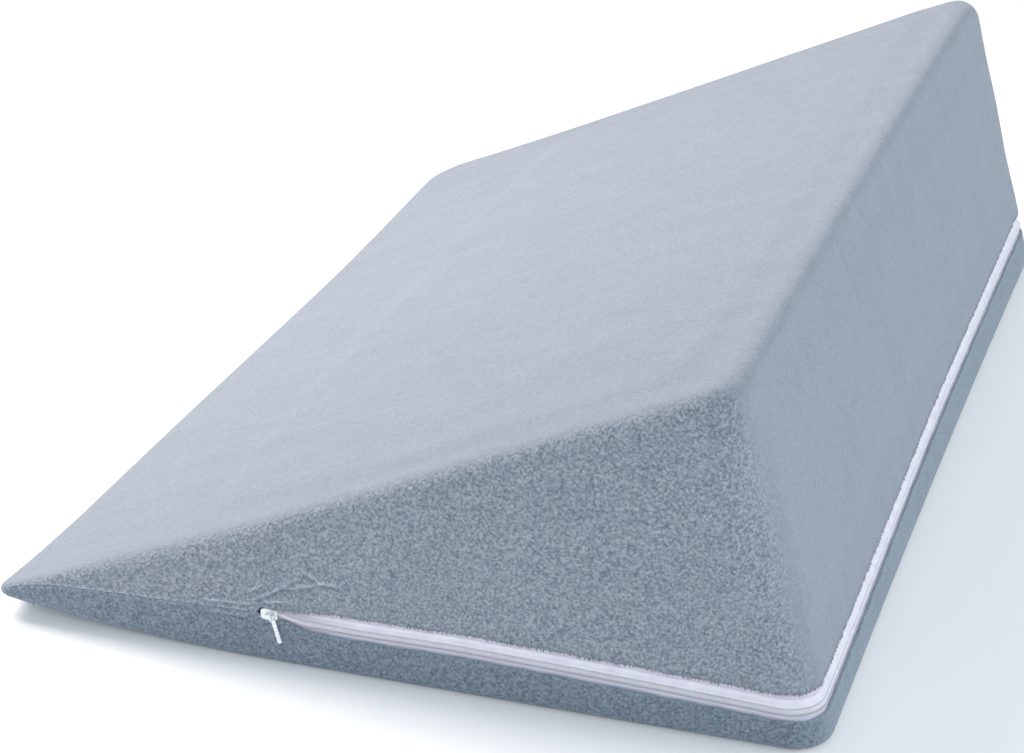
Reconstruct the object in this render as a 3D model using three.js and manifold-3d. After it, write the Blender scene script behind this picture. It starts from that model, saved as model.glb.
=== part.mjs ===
// A bed wedge pillow: one filled cushion in a soft pile cover. The cover's lower part is a shallow tray,
// joined to the upper part by a white zip that runs round the near side, the high back and the far side.
// Millimetres. X runs from the thin toe to the high heel, Y across the pillow and Z up.
import * as THREE from "three";
import { mergeVertices } from "three/addons/utils/BufferGeometryUtils.js";
import Module from "manifold-3d";

const wasm = await Module();
wasm.setup();

// Main sizes
const LENGTH = 600;
const WIDTH = 920;
const HEIGHT = 255; // of the sharp apex: its soft edge stands at 250
const TOE_THICKNESS = 16;
const HEEL_LEAN = 70; // how far the apex stands in from the foot of the back

// How far each face swells at its middle
const TOP_CROWN = 4;
const BACK_CROWN = 5;
const SIDE_CROWN = 3;

// How far each edge is drawn in at its middle
const TOE_DRAW_IN = 8;
const TOE_BOW_SHIFT = 1.7; // over 1, the toe is drawn in furthest past its middle, towards the far side
const HEEL_DRAW_IN = 3;
const APEX_DRAW_IN = 5;
const CREASE_SAG = 1.5;

// Radii of the soft edges
const BOTTOM_RADIUS = 9;
const CREASE_RADIUS = 13;
const APEX_RADIUS = 20;
const TOE_RADIUS = 5;
const FAR_APEX_RADIUS = 30;
const NEAR_TIP_RADIUS = 16;
const FAR_TIP_RADIUS = 32;
const HEEL_CORNER_RADIUS = 29;
const APEX_CORNER_RADIUS = 24;
const CREASE_BLEND = 120; // the creases widen over this length from the toe
const APEX_BLEND = 60; // and again over this length before the apex, in its outer part
const APEX_BLEND_WIDTH = 50;

// The toe's two corners are tips that turn up, the near one more than the far one
const TIP_LENGTH = 200;
const TIP_WIDTH = 150;
const NEAR_TIP_LIFT = 17; // of the underside
const FAR_TIP_LIFT = 12;
const NEAR_TIP_RAISE = 6.5; // of the top
const FAR_TIP_RAISE = 0.5;

// Cloth, zip and the gap that parts the pieces
const CLOTH = 2;
const GAP = 0.3;
const SLIDER_X = -87;
const SLIDER_ZIP_HEIGHT = 40.5; // the zip's middle line at the slider
const HEEL_ZIP_HEIGHT = 30; // the same line at the near corner of the heel
const FAR_ZIP_HEIGHT = 40.5; // and along the far part of the back and the far side
const ZIP_DROP = 1.9; // over 1, the line falls to the heel mostly near it
const ZIP_RISE_END = 60; // how far across the pillow the line has risen again
const TOE_SEAM_HEIGHT = 33; // the seam, before it meets the toe
const TOE_SEAM_LENGTH = 50;
const SEAM_BELOW_TOP = 3.1; // where the top comes down to the seam
const UPPER_OPENING = 11; // from the zip's middle line up to the cover's lip
const LOWER_OPENING = 7;
const CLOSED_OPENING = 2.7; // the same beside the slider, where the lips nearly meet
const LENS_LENGTH = 50; // the lips part over this length
const LENS_SHARE = 0.84; // to this share of the full opening, and then slowly to all of it
const LENS_STEPS = 7;
const FULL_OPENING_LENGTH = 100; // the opening is full from this far before the heel
const TAPE_THICKNESS = 1;
const TAPE_TUCK = 4; // tape that lies behind each lip
const TAPE_DEPTH = CLOTH + GAP;
const COIL_WIDTH = 4.4;
const COIL_THICKNESS = 1.5;
const COIL_CROWN = 0.4;
const COIL_ROWS = [-0.5, -0.2, 0.2, 0.5]; // shares of the width where the ridge has a corner

// Slider and its pull
const SLIDER_LENGTH = 12;
const SLIDER_FRONT_WIDTH = 8;
const SLIDER_REAR_WIDTH = 6.6;
const SLIDER_CORNER = 0.75;
const SLIDER_NOSE = 0.7; // share of the front width that its nose has
const SLIDER_CHEEK = 2;
const SLIDER_PLATE = 1.2;
const SLIDER_DIVIDER = 3.5;
const BRIDGE_LENGTH = 7;
const BRIDGE_WIDTH = 1.8;
const BRIDGE_HEIGHT = 3;
const BRIDGE_BAR = 1;
const BRIDGE_SINK = 0.2; // its feet stand this deep in the plate
const BRIDGE_PLACE = 1.2; // from the slider's middle towards its rear
const RING_BAR = 1;
const RING_HEIGHT = 6;
const PULL_LENGTH = 21;
const PULL_WIDTH = 2.9;
const PULL_THICKNESS = 1.1;
const PULL_SHOULDER = 2; // the tab narrows to the ring over this length
const PULL_CORNER = 0.4;
const PULL_PLACE = 2.4; // from the slider's middle
const PULL_SLANT = THREE.MathUtils.degToRad(15);

// Colours of the pieces
const coverMaterial = new THREE.MeshStandardMaterial({ color: 0x9dabba, roughness: 0.95, metalness: 0 });
const tapeMaterial = new THREE.MeshStandardMaterial({ color: 0xe6e6ee, roughness: 0.8, metalness: 0 });
const coilMaterial = new THREE.MeshStandardMaterial({ color: 0xe9e9f1, roughness: 0.5, metalness: 0 });
const metalMaterial = new THREE.MeshStandardMaterial({ color: 0xdde1e6, roughness: 0.3, metalness: 0.9 });

const TOE_X = -LENGTH / 2;
const HEEL_X = LENGTH / 2;
const APEX_X = HEEL_X - HEEL_LEAN;
const HALF_WIDTH = WIDTH / 2;
const TOP_RISE = (HEIGHT - TOE_THICKNESS) / (APEX_X - TOE_X);
const TOP_COSINE = 1 / Math.hypot(1, TOP_RISE);
const BACK_COSINE = HEIGHT / Math.hypot(HEIGHT, HEEL_LEAN);

const { clamp, lerp, smoothstep } = THREE.MathUtils;

// How far along from one value to another, held between 0 and 1
function share(value, from, to) {
  return clamp((value - from) / (to - from), 0, 1);
}

// 1 at the middle of an edge and 0 at its ends
function bow(y) {
  return Math.max(0, 1 - (y / HALF_WIDTH) ** 2);
}

// The same for the toe, with its furthest point off the middle
function toeBow(y) {
  return Math.sin(Math.PI * share(y, -HALF_WIDTH, HALF_WIDTH) ** TOE_BOW_SHIFT) ** 2;
}

// A value that is 0 in the pillow's middle and rises to the given one at each of the toe's tips
function atTip(x, y, near, far) {
  const along = share(x, TOE_X + TIP_LENGTH, TOE_X);
  const across = share(Math.abs(y), HALF_WIDTH - TIP_WIDTH, HALF_WIDTH);
  return along ** 2 * across ** 2 * (y < 0 ? near : far);
}

function undersideHeight(x, y) {
  return atTip(x, y, NEAR_TIP_LIFT, FAR_TIP_LIFT);
}

function topHeight(x, y) {
  const along = share(x, TOE_X, APEX_X);
  const swell = Math.sin(Math.PI * along);
  const middle = bow(y);
  const crown = TOP_CROWN * middle * swell - CREASE_SAG * (1 - middle) * swell * (1 - along);
  return TOE_THICKNESS + TOP_RISE * (x - TOE_X) + crown + atTip(x, y, NEAR_TIP_RAISE, FAR_TIP_RAISE);
}

// Two faces that meet in an edge of the given radius
function roundedEdge(a, b, radius) {
  const u = Math.max(radius + a, 0);
  const v = Math.max(radius + b, 0);
  return Math.min(-radius, Math.max(a, b)) + Math.hypot(u, v);
}

// Distance of a point outside the cover's surface, negative within
function outside(x, y, z) {
  const along = share(x, TOE_X, HEEL_X);
  const up = share(z, 0, HEIGHT);
  const high = topHeight(x, y);
  const drawIn = lerp(HEEL_DRAW_IN, APEX_DRAW_IN, up) - BACK_CROWN * Math.sin(Math.PI * up);
  const back = (x - HEEL_X + HEEL_LEAN * (z / HEIGHT) + drawIn * bow(y)) * BACK_COSINE;
  const toe = TOE_X + TOE_DRAW_IN * toeBow(y) - x;
  const swell = (SIDE_CROWN / 2) * Math.sin(Math.PI * along);
  const side = Math.abs(y) - HALF_WIDTH - swell * (1 + Math.sin(Math.PI * share(z, 0, high)));
  const top = (z - high) * TOP_COSINE;
  const bottom = undersideHeight(x, y) - z;

  const tipRadius = y < 0 ? NEAR_TIP_RADIUS : FAR_TIP_RADIUS;
  const cornerRadius = lerp(tipRadius, lerp(HEEL_CORNER_RADIUS, APEX_CORNER_RADIUS, up), along);
  const walls = roundedEdge(Math.max(back, toe), side, cornerRadius);
  const fromToe = smoothstep(x, TOE_X, TOE_X + CREASE_BLEND);
  const outer = share(Math.abs(y), HALF_WIDTH - APEX_BLEND_WIDTH, HALF_WIDTH);
  const nearApex = smoothstep(x, APEX_X - APEX_BLEND, APEX_X) * outer;
  const apexRadius = y < 0 ? APEX_RADIUS : FAR_APEX_RADIUS;
  const creaseRadius = lerp(lerp(TOE_RADIUS, CREASE_RADIUS, fromToe), apexRadius, nearApex);
  const upper = roundedEdge(walls, top, creaseRadius);
  return roundedEdge(upper, bottom, lerp(TOE_RADIUS, BOTTOM_RADIUS, fromToe));
}

const SEARCH_REACH = 120;
const SEARCH_STEPS = 40;

// Where a line from a point inside, through another, leaves the surface that lies inset within the cover
function surfacePoint(inner, through, inset) {
  const along = through.clone().sub(inner).normalize();
  const point = new THREE.Vector3();
  let near = 0;
  let far = SEARCH_REACH;
  for (let step = 0; step < SEARCH_STEPS; step += 1) {
    const middle = (near + far) / 2;
    point.copy(inner).addScaledVector(along, middle);
    if (outside(point.x, point.y, point.z) + inset < 0) near = middle;
    else far = middle;
  }
  return point;
}

// A box of the given numbers of steps, each corner of which is placed by a function of its three counts
function mappedBox(across, deep, high, place) {
  const box = new THREE.BoxGeometry(1, 1, 1, across, deep, high);
  const corners = box.getAttribute("position");
  for (let i = 0; i < corners.count; i += 1) {
    const a = Math.round((corners.getX(i) + 0.5) * across);
    const b = Math.round((corners.getY(i) + 0.5) * deep);
    const c = Math.round((corners.getZ(i) + 0.5) * high);
    const point = place(a, b, c);
    corners.setXYZ(i, point.x, point.y, point.z);
  }
  return box;
}

function toSolid(geometry) {
  const bare = geometry.clone();
  bare.deleteAttribute("normal");
  bare.deleteAttribute("uv");
  const merged = mergeVertices(bare, 1e-4);
  return new wasm.Manifold(
    new wasm.Mesh({
      numProp: 3,
      vertProperties: new Float32Array(merged.getAttribute("position").array),
      triVerts: new Uint32Array(merged.index.array),
    }),
  );
}

function toGeometry(solid) {
  const mesh = solid.getMesh();
  const geometry = new THREE.BufferGeometry();
  geometry.setAttribute("position", new THREE.BufferAttribute(new Float32Array(mesh.vertProperties), 3));
  geometry.setIndex(new THREE.BufferAttribute(new Uint32Array(mesh.triVerts), 1));
  geometry.computeVertexNormals();
  return geometry;
}

// Distances from an edge at which the faces have a line of corners, seen from above and up the walls
const EDGE_ZONE = 29;
const PLAN_STEPS = [0, 3, 8, 14, 19, 24, EDGE_ZONE];
const UP_STEPS = [0, 3, 9, 17, EDGE_ZONE];

// Places along a length, close together at both ends
function stations(length, edgeSteps, middleSteps) {
  const places = [...edgeSteps];
  const middle = length - 2 * EDGE_ZONE;
  for (let i = 1; i < middleSteps; i += 1) places.push(EDGE_ZONE + (middle * i) / middleSteps);
  for (const step of [...edgeSteps].reverse()) places.push(length - step);
  return places.map((place) => place / length);
}

const LENGTH_STEPS = 6;
const WIDTH_STEPS = 8;
const HEIGHT_STEPS = 3;
const alongStations = stations(LENGTH, PLAN_STEPS, LENGTH_STEPS);
const acrossStations = stations(WIDTH, PLAN_STEPS, WIDTH_STEPS);
const upStations = stations(HEIGHT, UP_STEPS, HEIGHT_STEPS);

// A low wall has its lines closer to its edges than a high one
function upStation(index, height) {
  const squeeze = Math.min(1, height / (HEIGHT_STEPS * EDGE_ZONE)) * (HEIGHT / height);
  const last = upStations.length - 1;
  const zone = UP_STEPS.length - 1;
  if (index <= zone) return upStations[index] * squeeze;
  if (index >= last - zone) return 1 - upStations[last - index] * squeeze;
  const edge = upStations[zone] * squeeze;
  return lerp(edge, 1 - edge, (index - zone) / (last - 2 * zone));
}

// A point of the plain wedge, by its shares of the length, width and local height
function wedgePoint(along, across, up) {
  const x = TOE_X + along * (LENGTH - up * HEEL_LEAN);
  const y = (across - 0.5) * WIDTH;
  const z = lerp(undersideHeight(x, y), lerp(TOE_THICKNESS, HEIGHT, along), up);
  return new THREE.Vector3(x, y, z);
}

const THIN_CORE = 0.45; // the inner points of the thin toe keep this share away from top and underside

// The soft-edged wedge whose surface lies inset within the cover's outside
function softWedge(inset) {
  const inward = (value, zone) => clamp(value, zone, 1 - zone);
  const place = (a, b, c) => {
    const along = alongStations[a];
    const across = acrossStations[b];
    const height = lerp(TOE_THICKNESS, HEIGHT, along);
    const up = upStation(c, height);
    const innerUp = inward(up, Math.min(THIN_CORE, EDGE_ZONE / height));
    const inner = wedgePoint(inward(along, EDGE_ZONE / LENGTH), inward(across, EDGE_ZONE / WIDTH), innerUp);
    return surfacePoint(inner, wedgePoint(along, across, up), inset);
  };
  const [length, width, height] = [alongStations, acrossStations, upStations].map((list) => list.length - 1);
  return toSolid(mappedBox(length, width, height, place));
}

// Height of the zip's middle line, and of the seam that follows on from it round the toe
function zipHeight(x, y) {
  const near = lerp(SLIDER_ZIP_HEIGHT, HEEL_ZIP_HEIGHT, share(x, SLIDER_X, HEEL_X) ** ZIP_DROP);
  return lerp(near, FAR_ZIP_HEIGHT, smoothstep(y, -HALF_WIDTH, ZIP_RISE_END));
}

function seamHeight(x, y) {
  const level = lerp(SLIDER_ZIP_HEIGHT, TOE_SEAM_HEIGHT, share(x, SLIDER_X, TOE_X + TOE_SEAM_LENGTH));
  return Math.min(level, topHeight(x, y) - SEAM_BELOW_TOP);
}

// How far the cover's lips stand apart, from 0 at the slider to 1 along the back
function parting(x) {
  const lens = Math.sin((Math.PI / 2) * share(x, SLIDER_X, SLIDER_X + LENS_LENGTH));
  return lens * lerp(LENS_SHARE, 1, share(x, SLIDER_X + LENS_LENGTH, HEEL_X - FULL_OPENING_LENGTH));
}

function upperLip(x, y) {
  if (x < SLIDER_X) return seamHeight(x, y);
  return zipHeight(x, y) + lerp(CLOSED_OPENING, UPPER_OPENING, parting(x));
}

function lowerLip(x, y) {
  if (x < SLIDER_X) return seamHeight(x, y) - GAP;
  return zipHeight(x, y) - lerp(CLOSED_OPENING, LOWER_OPENING, parting(x));
}

// Places along X where the lips have a corner, close together at the slider's end of the opening
const TOE_PLACES = [-50, 0, 8, 22, 38, 90].map((place) => TOE_X + place);
const LIP_PLACES = [...TOE_PLACES, SLIDER_X - 40, SLIDER_X - 0.1];
for (let i = 0; i <= LENS_STEPS; i += 1) LIP_PLACES.push(SLIDER_X + (LENS_LENGTH * i) / LENS_STEPS);
for (const place of [300, 250, 200, 150, FULL_OPENING_LENGTH, 50, 0, -50]) LIP_PLACES.push(HEEL_X - place);

// Places across, close together where the toe's tips turn up and where the zip rises along the back
const ACROSS_PLACES = [-HALF_WIDTH, 0, 12, 35, 65, 100, TIP_WIDTH].map((place) => HALF_WIDTH - place);
const RISE_PLACES = [-250, -190, -130, -70, -10, ZIP_RISE_END];
const CUT_PLACES = [...ACROSS_PLACES.map((place) => -place), ...RISE_PLACES, ...ACROSS_PLACES.toReversed()];

// Everything between a lip, which is a height for each x and y, and a level above or below it
function halfSpace(lip, level) {
  const place = (a, b, c) => {
    const x = LIP_PLACES[a];
    const y = CUT_PLACES[b];
    const atLip = (c === 0) === (level > 0);
    return new THREE.Vector3(x, y, atLip ? lip(x, y) : level);
  };
  return toSolid(mappedBox(LIP_PLACES.length - 1, CUT_PLACES.length - 1, 1, place));
}

// Stations round the near side, the back and the far side: a point inside and the way out from it
const RIM_CORE = 33;
const CORNER_TURNS = 9;
const BACK_STEPS = 14;
const TAPE_START = SLIDER_X - SLIDER_LENGTH / 2 + SLIDER_DIVIDER + GAP;
const SIDE_PLACES = [8, 16, 26, 38, 52, 90, 150, 220, 290, 335]; // along the zip, from its start

function rimStations(lead) {
  const coreX = HEEL_X - RIM_CORE;
  const coreY = HALF_WIDTH - RIM_CORE;
  const list = [];
  const add = (x, y, turn) => list.push({ x, y, outX: Math.cos(turn), outY: Math.sin(turn) });
  const sideX = [-lead, ...SIDE_PLACES].map((place) => TAPE_START + place);
  for (const x of sideX) add(x, -coreY, -Math.PI / 2);
  for (let i = 0; i <= CORNER_TURNS; i += 1) add(coreX, -coreY, (Math.PI / 2) * (i / CORNER_TURNS - 1));
  for (let i = 1; i < BACK_STEPS; i += 1) add(coreX, lerp(-coreY, coreY, i / BACK_STEPS), 0);
  for (let i = 0; i <= CORNER_TURNS; i += 1) add(coreX, coreY, (Math.PI / 2) * (i / CORNER_TURNS));
  const farX = [SLIDER_X + 2 * GAP - lead, ...sideX.slice(1)];
  for (const x of farX.reverse()) add(x, coreY, Math.PI / 2);
  return list;
}

// A strip along the rim. Its section has rows up the wall and two depths into it.
function rimStrip(rows, depthAt, lead = 0) {
  const rim = rimStations(lead);
  const place = (a, b, c) => {
    const { x, y, outX, outY } = rim[a];
    const middle = surfacePoint(
      new THREE.Vector3(x, y, HEEL_ZIP_HEIGHT),
      new THREE.Vector3(x + outX, y + outY, HEEL_ZIP_HEIGHT),
      0,
    );
    const z = rows[c](middle.x, middle.y);
    return surfacePoint(new THREE.Vector3(x, y, z), new THREE.Vector3(x + outX, y + outY, z), depthAt(b, c));
  };
  return toSolid(mappedBox(rim.length - 1, 1, rows.length - 1, place));
}

const upperTapeTop = (x, y) => upperLip(x, y) + TAPE_TUCK;
const lowerTapeFoot = (x, y) => lowerLip(x, y) - TAPE_TUCK;

// Depths of a strip's two sides: the first is the outer one
function depths(outer, inner) {
  return (side) => (side === 0 ? outer : inner);
}

const tapeDepths = depths(TAPE_DEPTH, TAPE_DEPTH + TAPE_THICKNESS);

function upperTape() {
  return rimStrip([(x, y) => zipHeight(x, y) + GAP / 2, upperTapeTop], tapeDepths);
}

function lowerTape() {
  return rimStrip([lowerTapeFoot, (x, y) => zipHeight(x, y) - GAP / 2], tapeDepths);
}

// The closed chain: a low rounded ridge along the line where the tapes meet
function coil() {
  const inner = TAPE_DEPTH - GAP;
  const outer = inner - COIL_THICKNESS;
  const rows = COIL_ROWS.map((part) => (x, y) => zipHeight(x, y) + part * COIL_WIDTH);
  const ridge = (side, row) => {
    if (side === 1) return inner;
    return row === 0 || row === rows.length - 1 ? outer + COIL_CROWN : outer;
  };
  return rimStrip(rows, ridge);
}

// The room that the tapes and the coil need in the filling
function zipRoom() {
  const tapeRows = [(x, y) => lowerTapeFoot(x, y) - GAP, zipHeight, (x, y) => upperTapeTop(x, y) + GAP];
  const tapes = rimStrip(tapeRows, depths(CLOTH - 2 * GAP, TAPE_DEPTH + TAPE_THICKNESS + GAP), GAP);
  const half = COIL_WIDTH / 2 + GAP;
  const chainRows = [(x, y) => zipHeight(x, y) - half, (x, y) => zipHeight(x, y) + half];
  return tapes.add(rimStrip(chainRows, depths(-CLOTH, TAPE_DEPTH), GAP));
}

// A frame at the slider, where the zip is level: X along the zip, Y up the wall and Z out of it
const sliderWall = surfacePoint(
  new THREE.Vector3(SLIDER_X, -HALF_WIDTH + RIM_CORE, SLIDER_ZIP_HEIGHT),
  new THREE.Vector3(SLIDER_X, -HALF_WIDTH, SLIDER_ZIP_HEIGHT),
  0,
);
const sliderFrame = new THREE.Matrix4()
  .makeTranslation(sliderWall.x, sliderWall.y, SLIDER_ZIP_HEIGHT)
  .multiply(new THREE.Matrix4().makeRotationX(Math.PI / 2));

// A flat outline with soft corners, as thick as given, whose underside lies at a height
function plate(outline, radius, thickness, height) {
  const shape = new THREE.Shape();
  outline.forEach(([x, y], i) => {
    const [beforeX, beforeY] = outline.at(i - 1);
    const [afterX, afterY] = outline.at((i + 1) % outline.length);
    const before = new THREE.Vector2(beforeX - x, beforeY - y).setLength(radius);
    const after = new THREE.Vector2(afterX - x, afterY - y).setLength(radius);
    if (i === 0) shape.moveTo(x + before.x, y + before.y);
    else shape.lineTo(x + before.x, y + before.y);
    shape.quadraticCurveTo(x, y, x + after.x, y + after.y);
  });
  shape.closePath();
  const body = new THREE.ExtrudeGeometry(shape, { depth: thickness, bevelEnabled: false, curveSegments: 3 });
  body.translate(0, 0, height);
  return toSolid(body);
}

function block(fromX, toX, fromY, toY, fromZ, toZ) {
  const box = new THREE.BoxGeometry(toX - fromX, toY - fromY, toZ - fromZ);
  box.translate((fromX + toX) / 2, (fromY + toY) / 2, (fromZ + toZ) / 2);
  return toSolid(box);
}

const SLIDER_BACK = 0.8; // thickness of its hidden lower plate
const SLIDER_FOOT = TAPE_DEPTH + TAPE_THICKNESS + GAP + SLIDER_BACK;

function sliderBody(grow) {
  const front = -SLIDER_LENGTH / 2 - grow;
  const rear = SLIDER_LENGTH / 2 + grow;
  const wide = SLIDER_FRONT_WIDTH / 2 + grow;
  const narrow = SLIDER_REAR_WIDTH / 2 + grow;
  const outline = [
    [front, -wide * SLIDER_NOSE],
    [front + SLIDER_CHEEK, -wide],
    [0, -wide],
    [rear, -narrow],
    [rear, narrow],
    [0, wide],
    [front + SLIDER_CHEEK, wide],
    [front, wide * SLIDER_NOSE],
  ];
  return plate(outline, SLIDER_CORNER, SLIDER_FOOT + SLIDER_PLATE + 2 * grow, -SLIDER_FOOT - grow);
}

// The bridge on the slider's face that the pull hangs from
function bridge() {
  const half = BRIDGE_LENGTH / 2;
  const shape = new THREE.Shape();
  shape.moveTo(-half, -BRIDGE_SINK);
  shape.lineTo(-half, BRIDGE_HEIGHT - BRIDGE_BAR);
  shape.quadraticCurveTo(-half, BRIDGE_HEIGHT, -half + BRIDGE_BAR, BRIDGE_HEIGHT);
  shape.lineTo(half - BRIDGE_BAR, BRIDGE_HEIGHT);
  shape.quadraticCurveTo(half, BRIDGE_HEIGHT, half, BRIDGE_HEIGHT - BRIDGE_BAR);
  shape.lineTo(half, -BRIDGE_SINK);
  shape.lineTo(half - BRIDGE_BAR, -BRIDGE_SINK);
  shape.lineTo(half - BRIDGE_BAR, BRIDGE_HEIGHT - BRIDGE_BAR);
  shape.lineTo(-half + BRIDGE_BAR, BRIDGE_HEIGHT - BRIDGE_BAR);
  shape.lineTo(-half + BRIDGE_BAR, -BRIDGE_SINK);
  shape.closePath();
  const options = { depth: BRIDGE_WIDTH, bevelEnabled: false, curveSegments: 3 };
  const arch = new THREE.ExtrudeGeometry(shape, options);
  arch.rotateX(Math.PI / 2);
  arch.translate(BRIDGE_PLACE, BRIDGE_WIDTH / 2, SLIDER_PLATE);
  return toSolid(arch);
}

function slider() {
  const mouth = -SLIDER_LENGTH / 2 + SLIDER_DIVIDER;
  const rear = SLIDER_LENGTH;
  const half = COIL_WIDTH / 2 + GAP;
  const coilRoom = block(mouth, rear, -half, half, -TAPE_DEPTH, GAP / 2);
  const tapeSlot = block(mouth, rear, -SLIDER_LENGTH, SLIDER_LENGTH, -SLIDER_FOOT + SLIDER_BACK, -CLOTH);
  return sliderBody(0).subtract(coilRoom).subtract(tapeSlot).add(bridge());
}

// A wire ring through the bridge with a narrow tab that hangs from it
function pull() {
  const ring = new THREE.Shape();
  const low = GAP;
  const high = BRIDGE_HEIGHT + RING_BAR + 2 * GAP;
  const halfRing = RING_HEIGHT / 2;
  ring.moveTo(-halfRing, low);
  ring.lineTo(halfRing, low);
  ring.lineTo(halfRing, high);
  ring.lineTo(-halfRing, high);
  ring.closePath();
  const hole = new THREE.Path();
  hole.moveTo(-halfRing + RING_BAR, low + RING_BAR);
  hole.lineTo(-halfRing + RING_BAR, high - RING_BAR);
  hole.lineTo(halfRing - RING_BAR, high - RING_BAR);
  hole.lineTo(halfRing - RING_BAR, low + RING_BAR);
  hole.closePath();
  ring.holes.push(hole);
  const loop = new THREE.ExtrudeGeometry(ring, { depth: RING_BAR, bevelEnabled: false });
  loop.rotateX(Math.PI / 2);
  loop.rotateZ(Math.PI / 2);
  loop.translate(-RING_BAR / 2, 0, SLIDER_PLATE);
  const half = PULL_WIDTH / 2;
  const top = -halfRing + RING_BAR;
  const foot = -PULL_LENGTH;
  const outline = [
    [-half, foot],
    [half, foot],
    [half, top - PULL_SHOULDER],
    [RING_BAR / 2, top],
    [-RING_BAR / 2, top],
    [-half, top - PULL_SHOULDER],
  ];
  const tab = plate(outline, PULL_CORNER, PULL_THICKNESS, SLIDER_PLATE + low);
  const hanging = toSolid(loop).add(tab).rotate([0, 0, THREE.MathUtils.radToDeg(PULL_SLANT)]);
  return hanging.translate([PULL_PLACE, 0, 0]);
}

function placedAtSlider(solid) {
  return solid.transform(sliderFrame.elements);
}

// The cushion is the filling and the upper cover together, stepped in behind the tray and the zip
function cushion() {
  const filling = softWedge(CLOTH + GAP);
  const upperCover = softWedge(0).intersect(halfSpace(upperLip, 2 * HEIGHT));
  const sliderRoom = placedAtSlider(sliderBody(GAP));
  return filling.add(upperCover).subtract(zipRoom()).subtract(sliderRoom);
}

// The lower cover is a tray of cloth with a flat floor and a wall up to the zip
function lowerCover() {
  const cloth = softWedge(0).subtract(softWedge(CLOTH));
  const sliderRoom = placedAtSlider(sliderBody(GAP));
  return cloth.intersect(halfSpace(lowerLip, -HEIGHT)).subtract(sliderRoom);
}

function piece(name, solid, material) {
  const mesh = new THREE.Mesh(toGeometry(solid), material);
  mesh.name = name;
  return mesh;
}

const pillow = new THREE.Group();
pillow.add(
  piece("cushion", cushion(), coverMaterial),
  piece("lower_cover", lowerCover(), coverMaterial),
  piece("zip_tape_upper", upperTape(), tapeMaterial),
  piece("zip_tape_lower", lowerTape(), tapeMaterial),
  piece("zip_coil", coil(), coilMaterial),
  piece("zip_slider", placedAtSlider(slider()), metalMaterial),
  piece("zip_pull", placedAtSlider(pull()), metalMaterial),
);

// The origin is the middle of the pillow's underside
const box = new THREE.Box3().setFromObject(pillow);
const centre = box.getCenter(new THREE.Vector3());
pillow.position.set(-centre.x, -centre.y, -box.min.z);

export default pillow;
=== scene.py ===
# A bed wedge pillow: a filled cushion in a soft pile cover. The cover's lower part is a shallow tray, joined
# to the upper part by a white zip that runs round the near side, the high back and the far side.
# Metres. X runs from the thin toe to the high heel, Y across the pillow to the far side and Z up.
import math
import random

import bmesh
import bpy
import numpy as np
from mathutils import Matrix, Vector


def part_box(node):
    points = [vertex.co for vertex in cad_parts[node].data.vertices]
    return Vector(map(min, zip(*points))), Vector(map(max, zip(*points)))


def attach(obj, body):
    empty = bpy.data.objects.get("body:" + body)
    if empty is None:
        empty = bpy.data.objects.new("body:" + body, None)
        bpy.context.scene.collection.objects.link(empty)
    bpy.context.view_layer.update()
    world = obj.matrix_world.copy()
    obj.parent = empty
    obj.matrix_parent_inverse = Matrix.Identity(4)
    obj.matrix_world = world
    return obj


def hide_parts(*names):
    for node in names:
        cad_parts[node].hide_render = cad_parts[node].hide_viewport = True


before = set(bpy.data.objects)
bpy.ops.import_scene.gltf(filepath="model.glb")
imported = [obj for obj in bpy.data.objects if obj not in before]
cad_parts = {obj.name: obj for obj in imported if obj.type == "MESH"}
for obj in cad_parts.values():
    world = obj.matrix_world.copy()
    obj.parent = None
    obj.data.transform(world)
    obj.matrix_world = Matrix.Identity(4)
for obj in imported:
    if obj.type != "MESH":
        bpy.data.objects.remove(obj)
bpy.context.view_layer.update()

# Main sizes of the wedge
LENGTH = 0.600
WIDTH = 0.920
HEIGHT = 0.255
TOE_THICKNESS = 0.016
HEEL_LEAN = 0.070

# How far each face swells at its middle, and how far each edge is drawn in
TOP_CROWN = 0.004
BACK_CROWN = 0.005
SIDE_CROWN = 0.003
TOE_DRAW_IN = 0.008
TOE_BOW_SHIFT = 1.7
HEEL_DRAW_IN = 0.003
APEX_DRAW_IN = 0.005
CREASE_SAG = 0.0015

# Radii of the soft edges
BOTTOM_RADIUS = 0.009
CREASE_RADIUS = 0.013
APEX_RADIUS = 0.020
FAR_APEX_RADIUS = 0.030
TOE_RADIUS = 0.005
NEAR_TIP_RADIUS = 0.011
FAR_TIP_RADIUS = 0.032
HEEL_CORNER_RADIUS = 0.029
APEX_CORNER_RADIUS = 0.024
CREASE_BLEND = 0.120
APEX_BLEND = 0.060
APEX_BLEND_WIDTH = 0.050

# The toe's two corners are tips that turn up
TIP_LENGTH = 0.200
TIP_WIDTH = 0.150
NEAR_TIP_LIFT = 0.017
FAR_TIP_LIFT = 0.012
NEAR_TIP_RAISE = 0.0065
FAR_TIP_RAISE = 0.0005

# Cloth, zip and seam
CLOTH = 0.002
GAP = 0.0003
SLIDER_X = -0.087
SLIDER_ZIP_HEIGHT = 0.0405
HEEL_ZIP_HEIGHT = 0.030
FAR_ZIP_HEIGHT = 0.0405
ZIP_DROP = 1.9
ZIP_RISE_END = 0.060
TOE_SEAM_HEIGHT = 0.033
TOE_SEAM_LENGTH = 0.050
SEAM_BELOW_TOP = 0.0031
UPPER_OPENING = 0.0125
LOWER_OPENING = 0.007
CLOSED_OPENING = 0.0027
LENS_LENGTH = 0.050
LENS_SHARE = 0.84
FULL_OPENING_LENGTH = 0.100
TAPE_THICKNESS = 0.0009
TAPE_TUCK = 0.004
TAPE_DEPTH = CLOTH + GAP
SLIDER_LENGTH = 0.012
SLIDER_HALF_WIDTH = 0.0040
SLIDER_DIVIDER = 0.0035

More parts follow.
